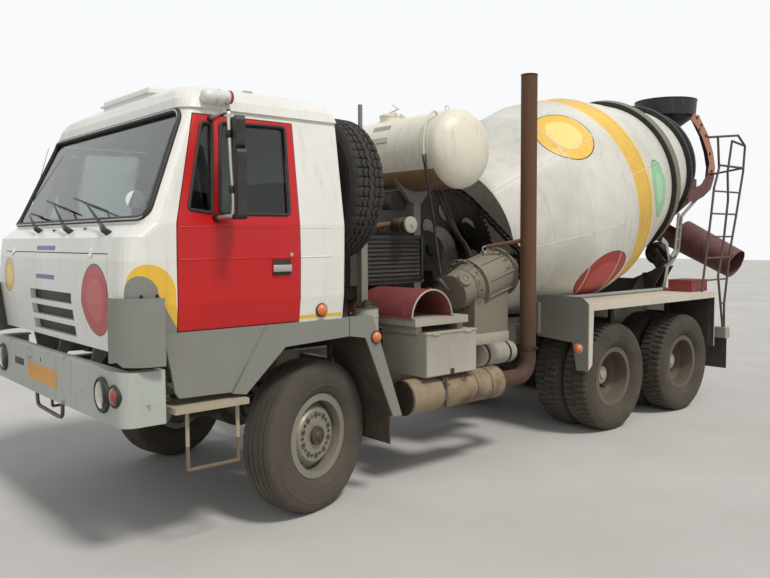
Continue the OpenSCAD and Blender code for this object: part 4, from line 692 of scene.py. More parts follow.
M["bumper"] = finish("bumper_enamel", rgb(176, 182, 172), gloss=0.45, dust=0.3, dust_top=1.3, streaks=0.45,
                     chips=0.10, paint_over=knocked_corner)
for key, paint, dust in (("tyre", rgb(44, 41, 38), 0.75), ("tyre_front", rgb(66, 62, 57), 0.6),
                         ("tyre_spare", rgb(38, 37, 37), 0.4)):
    M[key] = finish("rubber_" + key, paint, gloss=0.78, dust=dust, dust_top=3.2 if key == "tyre_spare" else 1.5,
                    streaks=0.2, bump=0.002, scale=2.5, dust_colour=rgb(108, 98, 84))
M["gasket"] = finish("window_rubber", rgb(24, 24, 24), gloss=0.55, dust=0.15, dust_top=3.2, bump=0.0006,
                     scale=8.0)
M["flap"] = finish("mud_flap_rubber", rgb(34, 32, 30), gloss=0.7, dust=0.8, dust_top=1.4, bump=0.001, scale=4.0,
                   dust_colour=rgb(116, 100, 82))

def glassy(name, tint, film, rough=0.02):
    """Clear glass under a film of dust, which hazes and tints it in blotches."""
    material, tree, shader = new_material(name, tint)
    haze = ramp(tree, noise(tree, object_place(tree), 5.0, 6.0, 0.65), 0.42, 0.8, 0.0, film)
    tree.links.new(mixed(tree, haze, tint, rgb(206, 196, 178)), shader.inputs["Base Color"])
    tree.links.new(maths(tree, "ADD", haze, rough), shader.inputs["Roughness"])
    shader.inputs["Metallic"].default_value = 0.0
    shader.inputs["Transmission Weight"].default_value = 1.0
    shader.inputs["IOR"].default_value = 1.45
    return material

M["glass"] = glassy("cab_glass", rgb(166, 176, 174), 0.10)
M["lens"] = glassy("lamp_glass", rgb(246, 246, 240), 0.2, 0.05)
M["amber"] = finish("amber_lens", rgb(226, 112, 34), gloss=0.2, dust=0.25, dust_top=3.0, coat=0.5,
                    bump=0.0004, scale=9.0)
M["red_lens"] = finish("red_lens", rgb(150, 40, 30), gloss=0.2, dust=0.3, dust_top=3.0, coat=0.5, bump=0.0004,
                       scale=9.0)
M["mirror"] = finish("mirror_glass", rgb(226, 230, 232), gloss=0.04, dust=0.1, dust_top=3.0, metal=1.0,
                     bump=0.0)
M["reflector"] = finish("lamp_bowl", rgb(225, 226, 222), gloss=0.12, dust=0.1, dust_top=2.0, metal=1.0,
                        bump=0.0)
M["plate"] = finish("blank_plate", rgb(222, 158, 62), gloss=0.4, dust=0.3, dust_top=1.6, streaks=0.2,
                    bump=0.0006)
M["white"] = finish("white_enamel", rgb(228, 228, 222), gloss=0.35, dust=0.2, dust_top=3.4, streaks=0.15,
                    chips=0.03)
print("finishes:", len(M))

# %% [markdown]
# ## One finish for each solid
# A carried-over solid keeps its mesh and gets a finish in its material slots. The table names them in
# groups. The last line prints every solid that the table has forgotten, so no plain grey one stays in view.

# %% Finishes on the solids
WEAR = {
    "steel": ("axle_group", "knuckle_left", "knuckle_right", "track_rod"),
    "oily": ("chain", "drive_sprocket", "drum_sprocket", "roller_left", "roller_right", "drive_engine"),
    "frame": ("frame_rails", "subframe"),
    "casting": ("gearbox",),
    "engine": ("mixer_engine",),
    "bumper": ("bumper",),
    "plant": ("fuel_tank", "portal_frame"),
    "pale": ("deck",),
    "steps": ("steps",),
    "wash": ("wash_gear",),
    "fender": ("rear_fenders",),
    "beam": ("rear_beam",),
    "skirt": ("cab_skirts",),
    "mudguard": ("rear_mudguards",),
    "exhaust": ("exhaust",),
    "maroon": ("spare_chute",),
    "chute": ("collector", "chute_extension", "swing_chute"),
    "water_tank": ("water_tank",),
    "black": ("rear_pedestal",),
    "hopper": ("hopper",),
    "rings": ("drum_rings",),
    "ladder": ("ladder",),
    "drum": ("drum_shell",),
    "cab": ("cab_shell", "service_flap"),
    "door": ("door_left", "door_right"),
    "glass": ("windscreen", "door_glass_left", "door_glass_right"),
    "plastic": ("mirrors_left", "mirrors_right"),
    "trim": ("cab_interior",),
    "silver": ("rim_front_left", "rim_front_right"),
    "rim_tan": ("rims_middle_left", "rims_middle_right", "rims_rear_left", "rims_rear_right"),
    "rim_cream": ("spare_rim",),
    "tyre_spare": ("spare_tyre",),
    "tyre_front": ("tyre_front_left", "tyre_front_right"),
    "tyre": ("tyres_middle_left", "tyres_middle_right", "tyres_rear_left", "tyres_rear_right"),
}
left = set(nodes)
for key, names in WEAR.items():
    for name in names:
        solid = bpy.data.objects[name]
        solid.data.materials.clear()
        solid.data.materials.append(M[key])
        left.discard(name)
print("solids without a finish:", sorted(left))

# %% [markdown]
# ## Tyres
# A truck's steered wheels wear ribbed tyres, whose grooves run round the tread in a fine zigzag. The
# driven wheels wear lugs: chunky blocks with open gaps that bite into mud. Both start as one section, a
# line of points from bead to bead, spun round the axle. The tread is then cut by moving the spun rows in
# and out or from side to side, which keeps the mesh closed and costs no extra faces.

# %% A tyre's section
def spun(bm, profile, steps):
    """Spins points (radius, height) round Z and returns the merged vertices."""
    start = set(bm.verts)
    add_lathe(bm, profile, (0, 0, 0), (0, 0, 1), steps)
    return [v for v in bm.verts if v not in start]

TYRE_SIDE = [(0.256, 0.0937), (0.292, 0.0937), (0.2965, 0.1035), (0.302, 0.110), (0.318, 0.123),
             (0.333, 0.1310), (0.345, 0.1355), (0.348, 0.1385), (0.356, 0.1390), (0.359, 0.1385),
             (0.376, 0.1435), (0.396, 0.1460), (0.420, 0.1462), (0.446, 0.1425), (0.449, 0.1440),
             (0.456, 0.1435), (0.459, 0.1400), (0.478, 0.1340), (0.496, 0.1260)]

def tyre_profile(tread):
    """Closes a ring: one side wall, the tread from its left edge to its right, the other side wall."""
    right_side = [(r, -h) for r, h in reversed(TYRE_SIDE)]
    across = tread + [(r, -h) for r, h in reversed(tread) if h > 1e-6]
    return TYRE_SIDE + across + right_side + [TYRE_SIDE[0]]

TYRE_RADIUS, CROWN_FALL = 0.522, 0.35

def crown(h):
    """Radius of the tread at a distance from the tyre's middle."""
    return TYRE_RADIUS - CROWN_FALL * h * h

def grooved(grooves, width, depth, shoulder=0.107):
    """The tread's left half from its edge to the middle line, with grooves cut at the given heights."""
    tread = [(0.5125, shoulder + 0.008), (0.5165, shoulder + 0.002),
             (crown(shoulder - 0.003), shoulder - 0.003)]
    for g in sorted(grooves, reverse=True):
        tread += [(crown(g), g + width / 2), (crown(g) - depth, g + width * 0.3)]
        if g > 1e-6:
            tread += [(crown(g) - depth, g - width * 0.3), (crown(g), g - width / 2)]
    return tread if 0.0 in grooves else tread + [(crown(0), 0.0)]

print("points in a section:", len(tyre_profile(grooved((0.064, 0.022), 0.008, 0.008))))

# %% [markdown]
# The lathe's rows are told apart by their angle. A zigzag moves the groove rows sideways by turns, and a
# lug gap pulls two rows in every six towards the axle. The pull fades out on the shoulder, so the gaps
# run out into notches, as on the real tyre.

# %% Cutting the tread
def row_of(v, steps):
    """The number of the row in which a spun vertex lies."""
    return round(math.atan2(v.co.y, v.co.x) / math.tau * steps) % steps

def rib_tread(steps=256, swing=0.0035, notch=0.005):
    """Steered wheels: four zigzag grooves, with small notches in the shoulders."""
    bm = bmesh.new()
    for v in spun(bm, tyre_profile(grooved((0.064, 0.022), 0.008, 0.009)), steps):
        row, r = row_of(v, steps), math.hypot(v.co.x, v.co.y)
        if r > 0.508 and abs(v.co.z) < 0.09:
            v.co.z += swing * (0, 1, 0, -1)[row % 4]
        elif 0.510 < r < 0.5175 and abs(v.co.z) > 0.1 and row % 4 == 0:
            v.co.xy *= (r - notch) / r
    return bm

def lug_tread(lugs=54, gap=2, depth=0.014, swing=0.006, width=0.012, lean=0.10):
    """Driven wheels: leaning lugs on both sides of a zigzag groove."""
    steps = lugs * 6
    bm = bmesh.new()
    tread = grooved((0.0,), width, depth)
    tread = tread[:3] + [(crown(h), h) for h in (0.085, 0.060, 0.034, 0.018)] + tread[3:]
    for v in spun(bm, tyre_profile(tread), steps):
        row, r, h = row_of(v, steps), math.hypot(v.co.x, v.co.y), v.co.z
        offset = 0 if h > 0 else 3
        if r > 0.49 and abs(h) > 0.008 and (row + offset) % 6 < gap:
            fade = 0.35 if r < 0.505 else 1.0
            v.co.xy *= (r - depth * fade) / r
        if abs(h) < 0.02 and r > 0.5:
            v.co.z += swing * (1 if row % 6 < 3 else -1)
        if r > 0.49:
            v.co.xy = Matrix.Rotation(lean * abs(h), 2) @ v.co.xy
    return bm

def block_tread(steps=288, depth=0.016):
    """The spare wheel: four zigzag grooves, crossed by a slot in every sixth row."""
    bm = bmesh.new()
    for v in spun(bm, tyre_profile(grooved((0.070, 0.026), 0.013, depth)), steps):
        row, r, h = row_of(v, steps), math.hypot(v.co.x, v.co.y), v.co.z
        if r > 0.500 and abs(h) < 0.1:
            v.co.z += 0.007 * (0, 1, 1, 0, -1, -1)[row % 6]
        if r > 0.5165 and row % 6 == 5 and abs(h) > 0.03:
            v.co.xy *= (r - depth * 0.7) / r
        elif 0.509 < r <= 0.5165 and row % 6 in (4, 5):
            v.co.xy *= (r - 0.010) / r
    return bm

def kept(name, bm):
    """Stores a tread as a mesh, so that it can be placed many times."""
    mesh = bpy.data.meshes.new(name)
    bm.to_mesh(mesh)
    bm.free()
    return mesh

rib = kept("rib_tread", rib_tread())
lug = kept("lug_tread", lug_tread())
block = kept("block_tread", block_tread())
print("faces of rib, lug and block tyres:", len(rib.polygons), len(lug.polygons), len(block.polygons))

# %% [markdown]
# The truck is parked with its front wheels turned 15.3 degrees to the left, each about its own kingpin.
# The rear wheels are twins: two tyres on one hub, 330 mm apart. Every wheel gets its place and the
# direction that its outer side faces.

# %% Wheels in their places
turned = math.radians(15.3)
WHEEL_Z, KINGPIN_Y, FROM_KINGPIN = 522, 860, 123
MIDDLE_AXLE_X, REAR_AXLE_X, TWIN_Y, HALF_TWIN = -3550, -4870, 887, 0.165
WHEELS = {}
for side, name in SIDES:
    back, out = -math.sin(turned) * side, math.cos(turned) * side
    WHEELS["front_" + name] = (at(back * FROM_KINGPIN, side * KINGPIN_Y + out * FROM_KINGPIN, WHEEL_Z),
                               Vector((back, out, 0)))
    WHEELS["middle_" + name] = (at(MIDDLE_AXLE_X, side * TWIN_Y, WHEEL_Z), Vector((0, side, 0)))
    WHEELS["rear_" + name] = (at(REAR_AXLE_X, side * TWIN_Y, WHEEL_Z), Vector((0, side, 0)))

def add_copy(bm, mesh, origin, axis):
    """Adds a stored tread, with its own X upright."""
    start = set(bm.verts)
    bm.from_mesh(mesh)
    placed(bm, [v for v in bm.verts if v not in start], origin, axis, side=UP)

for name, (hub, axis) in WHEELS.items():
    front = name.startswith("front")
    bm = bmesh.new()
    for offset in ((0.0,) if front else (HALF_TWIN, -HALF_TWIN)):
        add_copy(bm, rib if front else lug, hub + axis * offset, axis)
    body = ("wheel_" if front else "wheels_") + name
    tyre = finished(("tyre_" if front else "tyres_") + name + "_tread", bm,
                    M["tyre_front" if front else "tyre"], body, sharp=28)
    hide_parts(("tyre_" if front else "tyres_") + name)

bm = bmesh.new()
add_copy(bm, block, at(-452, 680, 2240), FORWARD)
spare = finished("spare_tyre_tread", bm, M["tyre_spare"], "chassis", sharp=28)
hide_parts("spare_tyre")
print("tyres placed:", len(WHEELS) + 1)

# %% [markdown]
# ## Hubs, studs and nuts
# Each front hub ends in a small cap with six bolts. Each rear hub shows ten wheel nuts and a long bolted
# cap. A hexagon nut is a cone of six sides with its rim bevelled. The nuts share a piece with their cap, and
# that piece turns with the wheel.

# %% Nuts and hub caps
def add_nut(bm, origin, axis, across_flats, height, stud=0.0):
    """A hexagon nut on a face, with the end of its stud if one is given."""
    reach = across_flats / math.sqrt(3)
    add_rod(bm, origin, origin + axis * height, reach, sides=6, edge=across_flats * 0.06)
    if stud > 0:
        add_rod(bm, origin, origin + axis * (height + stud), across_flats * 0.27, sides=12, edge=0.001)

def ring_points(hub, axis, radius, count, height, start=0.0):
    """Places round a hub, with the first one straight up from it."""
    up = Vector(UP)
    across = axis.cross(up)
    for i in range(count):
        a = math.tau * i / count + start
        yield hub + axis * height + (up * math.cos(a) + across * math.sin(a)) * radius

STUD_CIRCLE, STUDS = 0.142, 10
for name, (hub, axis) in WHEELS.items():
    front = name.startswith("front")
    bm = bmesh.new()
    if front:
        add_lathe(bm, [(0.0, 0.121), (0.022, 0.120), (0.031, 0.115), (0.036, 0.106), (0.037, 0.1055),
                       (0.060, 0.1055), (0.0635, 0.102), (0.0650, 0.086), (0.0650, 0.078), (0.0, 0.078)], hub,
                  axis, 40)
        for spot in ring_points(hub, axis, 0.050, 6, 0.1035, 0.2):
            add_nut(bm, spot, axis, 0.013, 0.006)
    else:
        for spot in ring_points(hub, axis, STUD_CIRCLE, STUDS, 0.014):
            add_nut(bm, spot, axis, 0.032, 0.024, 0.010)
        add_lathe(bm, [(0.0, 0.158), (0.034, 0.157), (0.040, 0.152), (0.041, 0.141), (0.080, 0.140),
                       (0.088, 0.135), (0.0885, 0.128), (0.0885, 0.110), (0.096, 0.105), (0.100, 0.095),
                       (0.100, 0.040), (0.112, 0.028), (0.112, 0.014), (0.0, 0.014)], hub, axis, 40)
        for spot in ring_points(hub, axis, 0.062, 8, 0.140, 0.2):
            add_nut(bm, spot, axis, 0.016, 0.008)
    body = ("wheel_" if front else "wheels_") + name
    finished("hub_cap_" + name, bm, M["hub" if front else "pale"], body)
print("hub caps:", len(WHEELS))

# %% [markdown]
# The disc of a front wheel has ten sunken studs, and eight oval hand holes on its sloping part. The studs
# sit in black wells, painted shade in their recesses. The rim is a solid that this script leaves as it is,
# so each hole is a thin dark oval laid on the slope, painted shade in place of the opening. Every wheel
# also has a valve with a screwed cap.

# %% Studs, hand holes and valves
DISC_FACE, HOLE_POINTS = 0.078, 32

def away_from(hub, axis, spot):
    """The part of the way from hub to spot that is square to the axis."""
    return spot - hub - axis * (spot - hub).dot(axis)

for name, (hub, axis) in WHEELS.items():
    front = name.startswith("front")
    body = ("wheel_" if front else "wheels_") + name
    if front:
        # painted shade: black wells round the studs, and black ovals in place of the hand holes
        dark_wells_and_holes = bmesh.new()
        for spot in ring_points(hub, axis, STUD_CIRCLE, STUDS, DISC_FACE):
            add_lathe(dark_wells_and_holes, [(0.0, -0.010), (0.0225, -0.003), (0.0225, 0.0008), (0.0205, 0.0018),
                              (0.0175, 0.0018), (0.0150, -0.004), (0.0, -0.006)], spot, axis, 24)
            add_nut(dark_wells_and_holes, spot - axis * 0.008, axis, 0.022, 0.010)
        for spot in ring_points(hub, axis, 0.2205, 8, 0.0320, 0.2):
            spoke = away_from(hub, axis, spot).normalized()
            slope = (axis * 0.652 + spoke * 0.758).normalized()
            made = bmesh.ops.create_circle(dark_wells_and_holes, cap_ends=True, segments=HOLE_POINTS, radius=0.0125)["verts"]
            disc = list({f for v in made for f in v.link_faces})
            made += verts_in(bmesh.ops.extrude_face_region(dark_wells_and_holes, geom=disc)["geom"])
            bmesh.ops.translate(dark_wells_and_holes, vec=(0, 0, 0.0025), verts=made[HOLE_POINTS:])
            bmesh.ops.scale(dark_wells_and_holes, vec=(1.0, 2.3, 1.0), verts=made)
            placed(dark_wells_and_holes, made, spot, slope, side=spoke - slope * spoke.dot(slope))
        finished("stud_wells_and_hole_shade_" + name, dark_wells_and_holes, M["gasket"], body)
    stem = bmesh.new()
    foot = next(ring_points(hub, axis, 0.236, 1, 0.06 if front else 0.15, 0.55))
    add_rod(stem, foot, foot + axis * 0.03 - away_from(hub, axis, foot) * 0.06, 0.0045, sides=10)
    add_rod(stem, foot + axis * 0.022, foot + axis * 0.034, 0.006, sides=10, edge=0.001)
    finished("valve_" + name, stem, M["oily"], body)
print("valves:", len(WHEELS))

# %% [markdown]
# ## Rubber round the windows
# A windscreen of this age sits in a rubber section that is locked by a pale filler strip. Both follow the
# edge of the opening, which bends round the cab's corners. The outline is a list of four corners in the
# front view. Each corner is rounded, each straight is divided, and the cab's own slope gives the depth.

# %% The cab's surface and loops on it
# Height and half width, from the sill over the belt to the gutter
SIDE_LINE = [(1222, 1208), (1500, 1243), (1755, 1247), (1887, 1243), (1965, 1240), (2655, 1102)]
BELT_Z, GUTTER_Z = 1965, 2655

def side_y(z):
    """Half width of the cab at a height, in millimetres."""
    for (z0, y0), (z1, y1) in zip(SIDE_LINE, SIDE_LINE[1:]):
        if z <= z1:
            return y0 + (y1 - y0) * (z - z0) / (z1 - z0)
    return y1

def screen_x(y, z):
    """Station of the sloping front above the belt, bent back round the corners."""
    rise = (z - BELT_Z) / (GUTTER_Z - BELT_Z)
    front, half, r = 1220 - 315 * rise, 1240 - 138 * rise, 105 - 15 * rise
    beyond = abs(y) - (half - r)
    return front if beyond <= 0 else front - r + math.sqrt(max(r * r - beyond * beyond, 0.0))

def rounded_loop(corners, radius, per_side=8, per_corner=5):
    """Points round a flat outline, with its corners turned into short curves."""
    loop = []
    count = len(corners)
    for i in range(count):
        c, before, after = (Vector(corners[j % count]) for j in (i, i - 1, i + 1))
        start = c + (before - c).normalized() * radius
        stop = c + (after - c).normalized() * radius
        for k in range(per_corner + 1):
            s = k / per_corner
            loop.append((1 - s) ** 2 * start + 2 * s * (1 - s) * c + s * s * stop)
        next_start = after + (c - after).normalized() * radius
        loop += [stop.lerp(next_start, k / per_side) for k in range(1, per_side)]
    return loop

screen_loop = rounded_loop([(-1192, 1995), (1192, 1995), (1062, 2641), (-1062, 2641)], 70, 16)
tube("screen_rubber", [at(screen_x(y, z) + 2, y, z) for y, z in screen_loop], 0.017, M["gasket"], "cab",
     smooth=False, closed=True)
# The strip's loop is a little larger, grown from the middle of the screen
WIDER, TALLER, SCREEN_MIDDLE_Z = 1.004, 0.008, 2318
strip = [at(screen_x(y * WIDER, z) + 17, y * WIDER, z + (z - SCREEN_MIDDLE_Z) * TALLER) for y, z in screen_loop]
tube("screen_filler_strip", strip, 0.0045, M["zinc"], "cab", smooth=False, closed=True)
QUARTER = [(952, 2047), (808, 2567), (738, 2571), (802, 2027)]
MAIN = [(752, 2023), (680, 2579), (212, 2589), (256, 2025)]
for side, name in SIDES:
    for window, corners, radius in (("quarter", QUARTER, 22), ("main", MAIN, 32)):
        loop = rounded_loop(corners, radius)
        tube(f"{window}_rubber_{name}", [at(x, side * (side_y(z) + 1), z) for x, z in loop], 0.010, M["gasket"],
             "door_" + name, smooth=False, closed=True)
print("points round the screen:", len(screen_loop))

# %% [markdown]
# ## Wipers
# Three wipers park across the foot of the screen. A wiper is a spindle in a boss, an arm that widens
# towards the spindle, and a sprung bridge that holds a rubber blade. The arm is a block that is narrowed
# at one end by scaling its far vertices, and the blade has a thin lip towards the glass.

# %% Wipers
def add_taper(bm, a, b, width_a, width_b, thick_a, thick_b, face):
    """A flat bar from a to b. Its wide side faces along the given direction."""
    a, b = Vector(a), Vector(b)
    made = bmesh.ops.create_cube(bm, size=1.0)["verts"]
    for v in made:
        low = v.co.z < 0
        v.co.x *= width_a if low else width_b
        v.co.y *= thick_a if low else thick_b
        v.co.z *= (b - a).length
    shaped = bmesh.ops.bevel(bm, geom=edges_of(made), offset=min(thick_a, thick_b) * 0.3,
                             offset_type="OFFSET", segments=2, profile=0.5, affect="EDGES",
                             material=-1)["verts"]
    placed(bm, shaped, (a + b) / 2, b - a, side=(b - a).cross(Vector(face)))

glass_out = Vector((0.9097, 0.0, 0.4153))
# Each wiper: its spindle, the knee of its arm, the arm's end, and the two ends of its blade
WIPERS = [((1262, -430, 1936), (1282, -494, 1973), (1234, -726, 2055), (1206, -853, 2080), (1221, -536, 2046)),
          ((1276, 224, 1926), (1284, 108, 1969), (1206, -266, 2116), (1166, -607, 2168), (1209, 33, 2073)),
          ((1296, 905, 1912), (1284, 754, 1969), (1212, 359, 2102), (1168, -40, 2163), (1219, 672, 2052))]
bm = bmesh.new()
for points in WIPERS:
    spindle, knee, reach, tip_a, tip_b = places(points)
    foot = spindle - Vector((0.014, 0, 0.010))
    top = spindle + Vector((0.036, 0, 0.022))
    add_rod(bm, foot, top, 0.021, 0.017, sides=20, edge=0.003)
    add_taper(bm, spindle + Vector((0.03, 0, 0.018)), knee, 0.036, 0.022, 0.020, 0.014, glass_out)
    add_taper(bm, knee, reach + glass_out * 0.012, 0.020, 0.009, 0.012, 0.006, glass_out)
    along = (tip_b - tip_a).normalized()
    middle = tip_a.lerp(tip_b, 0.5)
    for reach_out in (0.30, 0.16):
        half = (tip_b - tip_a).length * reach_out
        add_taper(bm, middle - along * half, middle, 0.007, 0.012, 0.007, 0.010, glass_out)
        add_taper(bm, middle, middle + along * half, 0.012, 0.007, 0.010, 0.007, glass_out)
    add_taper(bm, tip_a - glass_out * 0.010, tip_b - glass_out * 0.010, 0.013, 0.013, 0.007, 0.007, glass_out)
    add_taper(bm, tip_a - glass_out * 0.018, tip_b - glass_out * 0.018, 0.003, 0.003, 0.012, 0.012, glass_out)
wipers = finished("wipers", bm, M["plastic"], "cab")
bm = bmesh.new()
for jet in places(((1259, -143, 1937), (1254, 427, 1940))):
    add_rod(bm, jet - glass_out * 0.006, jet + glass_out * 0.012, 0.010, 0.006, sides=16, edge=0.002)
finished("washer_jets", bm, M["oily"], "cab")
print("wiper vertices:", len(wipers.data.vertices))

# %% [markdown]
# ## Door furniture
# Each door has a square cup with a pale pull handle in it and a small round lock above. The cup is a
# block whose outer face is inset and then pushed inwards, so a thin rim stays, and a black sheet on its
# floor is painted shade. The service flap hangs on two strap hinges, and a black plate behind its slots is
# painted shade for the dark space behind them.

# %% Handles, locks and hinges
def add_cup(bm, low, high, rim, depth, face):
    """A block with a pocket in the side that looks along face."""
    start = set(bm.faces)
    add_block(bm, low, high)
    outer = max((f for f in bm.faces if f not in start),
                key=lambda f: f.normal.dot(face) + 1e-3 * f.calc_area())
    bmesh.ops.inset_region(bm, faces=[outer], thickness=rim, depth=0.0)
    bmesh.ops.translate(bm, vec=-face * depth, verts=outer.verts)

for side, name in SIDES:
    out = Vector((0, side, 0))
    y0, y1 = sorted((side * 1.243, side * 1.2515))
    bm = bmesh.new()
    add_cup(bm, Vector((3.062, y0, 1.638)), Vector((3.203, y1, 1.748)), 0.006, 0.005, out)
    finished("handle_cup_" + name, bm, M["door"], "door_" + name, sharp=25)
    # painted shade: a black sheet on the floor of the handle's cup
    bm = bmesh.new()
    y0, y1 = sorted((side * 1.2455, side * 1.2470))
    add_block(bm, Vector((3.067, y0, 1.643)), Vector((3.198, y1, 1.743)), 0.0005)
    finished("handle_recess_shade_" + name, bm, M["gasket"], "door_" + name)
    bm = bmesh.new()
    y0, y1 = sorted((side * 1.2525, side * 1.2625))
    add_block(bm, Vector((3.066, y0, 1.668)), Vector((3.203, y1, 1.712)), 0.004, 3)
    y0, y1 = sorted((side * 1.2465, side * 1.2560))
    for x in (3.070, 3.186):
        add_block(bm, Vector((x, y0, 1.674)), Vector((x + 0.012, y1, 1.706)), 0.001)
    spot = Vector((3.060, side * 1.2463, 1.774))
    add_rod(bm, spot - out * 0.004, spot + out * 0.005, 0.0125, sides=24, edge=0.0015)
    finished("door_handle_" + name, bm, M["zinc"], "door_" + name)

for side, name in SIDES:
    for part, start, stop, body, slot in (("door", 222, 1016, "door_" + name, "door_red"),
                                          ("cab", -60, 188, "cab", "cab_white")):
        bm = bmesh.new()
        for z, radius in ((1757, 0.0050), (1945, 0.0040)):
            y = side * (side_y(z) - 1.5)
            add_rod(bm, at(start, y, z), at(stop, y, z), radius, sides=16, edge=0.0015)
        finished(f"{part}_swage_{name}", bm, M[part], body)

def add_strap(bm, top, foot, width, thickness, out):
    """A flat hinge with a rolled eye at the top and two bolt heads."""
    add_taper(bm, top, foot, width, width, thickness, thickness, out)
    across = (foot - top).cross(out).normalized()
    add_rod(bm, top - across * width * 0.6, top + across * width * 0.6, 0.009, sides=16, edge=0.0015)
    for s in (0.55, 0.85):
        spot = top.lerp(foot, s) + out * thickness * 0.4
        add_rod(bm, spot, spot + out * 0.006, 0.007, 0.005, sides=12)

bm = bmesh.new()
strap_out = Vector((0.975, 0.0, 0.22))
for top, foot in (((1319, 751, 1872), (1352, 733, 1766)), ((1311, -869, 1880), (1349, -792, 1775))):
    add_strap(bm, at(*top), at(*foot), 0.042, 0.006, strap_out)
finished("flap_hinges", bm, M["cab"], "service_flap")
# painted shade: a black plate behind the flap's slots
bm = bmesh.new()
add_block(bm, at(1291, -425, 1250), at(1299, 425, 1556), 0.002, 2,
          turn=Matrix.Rotation(math.radians(5.5), 3, "Y"))
finished("grille_shade_plate", bm, M["plastic"], "service_flap")
bm = bmesh.new()
for x, y, z in ((1256, 1241, 1558), (1165, 1244, 1558), (1256, -1241, 1558), (1165, -1244, 1558)):
    out = Vector((0.25, 1.0 if y > 0 else -1.0, 0)).normalized()
    add_rod(bm, at(x, y, z) - out * 0.004, at(x, y, z) + out * 0.006, 0.011, 0.009, sides=16, edge=0.002)
finished("corner_bolts", bm, M["oily"], "cab")
print("door furniture ready")

# %% [markdown]
# The roof carries a low hatch and, over the left gutter, a small lamp that looks backwards. The aerial is
# a thin tapered rod on a foot, with a pale grip. All of it is seen from far away, so a few blocks, rods
# and lathes are enough.

# %% Roof hatch, aerial and roof lamp
bm = bmesh.new()
add_block(bm, at(330, -400, 2800), at(800, 400, 2893), 0.022, 4)
add_block(bm, at(300, -420, 2842), at(815, 420, 2858), 0.007, 2)
finished("roof_hatch", bm, M["cab"], "cab")
bm = bmesh.new()
add_block(bm, at(326, 880, 2806), at(386, 920, 2834), 0.004, 2)
finished("roof_bracket", bm, M["pale"], "cab")
bm = bmesh.new()
add_rod(bm, at(1166, -1085, 1970), at(985, -1060, 2600), 0.003, 0.0016, sides=10)
add_rod(bm, at(1190, -1090, 1958), at(1160, -1084, 1990), 0.012, 0.007, sides=16, edge=0.002)
finished("aerial", bm, M["oily"], "cab")
bm = bmesh.new()
add_rod(bm, at(1128, -1080, 2102), at(1108, -1077, 2172), 0.008, sides=16, edge=0.002)
finished("aerial_grip", bm, M["white"], "cab")

lamp_at, lamp_out = at(800, 1132, 2722), Vector((-1, 0, 0.06))
bm = bmesh.new()
add_lathe(bm, [(0.0, -0.006), (0.020, -0.004), (0.036, 0.004), (0.043, 0.016), (0.045, 0.060), (0.042, 0.074),
               (0.038, 0.080), (0.038, 0.098), (0.046, 0.104), (0.048, 0.118), (0.046, 0.130), (0.034, 0.136),
               (0.034, 0.158), (0.038, 0.162), (0.038, 0.172), (0.0, 0.172)], lamp_at, lamp_out, 40)
add_block(bm, at(690, 1085, 2690), at(730, 1120, 2722), 0.004)
finished("roof_lamp", bm, M["white"], "cab")
lathe_piece("roof_lamp_lens", [(0.0, 0.172), (0.036, 0.172), (0.041, 0.176), (0.041, 0.188), (0.036, 0.193),
                               (0.0, 0.195)], lamp_at, lamp_out, 40, M["red_lens"], "cab")
print("roof fittings ready")

# %% [markdown]
# ## Mirrors
# The housings are solids with a shallow pocket at their back. The glass is a thin rounded plate in that
# pocket. A pale tube covers the bent arm, with a clamp where the housings are held. An arm like this is
# bent from one tube, so a curve with a round section is the natural way to make it.

# %% Mirror glass and arms
def add_plate(bm, width, height, radius, thickness):
    """A flat plate with round corners about the origin, its thickness along Z."""
    outline = rounded_loop([(-width / 2, -height / 2), (width / 2, -height / 2), (width / 2, height / 2),
                            (-width / 2, height / 2)], radius, 1, 6)
    return add_slab(bm, [(p.x, p.y, 0.0) for p in outline], (0, 0, thickness))

MIRROR_Y = 1410
for side, name in SIDES:
    turn = math.radians(-20 * side)
    back = Vector((-math.cos(turn), -math.sin(turn), 0))
    glass = bmesh.new()
    for z, width, height in ((2188, 0.184, 0.384), (2480, 0.134, 0.174)):
        plate = add_plate(glass, width, height, 0.022, 0.0025)
        placed(glass, plate, at(722, side * MIRROR_Y, z) + back * 0.0205, back, side=Vector(UP).cross(back))
    finished("mirror_glass_" + name, glass, M["mirror"], "door_" + name)
    arm = [(742, 1112, 2592), (742, 1200, 2600), (742, 1300, 2610), (742, 1330, 2606), (742, 1336, 2570),
           (742, 1355, 2300), (742, 1371, 2050), (746, 1366, 2016), (762, 1320, 2006), (780, 1238, 1999)]
    tube("mirror_arm_" + name, [at(x, side * y, z) for x, y, z in arm], 0.0140, M["zinc"], "door_" + name)
    bm = bmesh.new()
    for x, y, z, r in ((742, 1342, 2480, 0.024), (742, 1364, 2160, 0.022)):
        add_rod(bm, at(x, side * y, z - 22), at(x, side * y, z + 22), r, sides=24, edge=0.004)
        add_rod(bm, at(x - 28, side * (y + 6), z), at(x + 26, side * (y + 6), z), 0.009, sides=12, edge=0.002)
    add_rod(bm, at(780, side * 1236, 1999), at(779, side * 1262, 2001), 0.026, 0.018, sides=24, edge=0.003)
    add_rod(bm, at(742, side * 1106, 2590), at(742, side * 1136, 2594), 0.024, 0.018, sides=24, edge=0.003)
    finished("mirror_clamps_" + name, bm, M["oily"], "door_" + name)
print("mirrors ready")

# %% [markdown]
# ## Lamps at the front
# A head lamp is a bowl, a domed glass and a dark rubber ring that holds it in the bumper. All three are
# lathes about the same line. The lamp outboard of it is a brown-red dome in a round ring. Amber markers on
# the cab and on the mudguard show the truck's flanks.

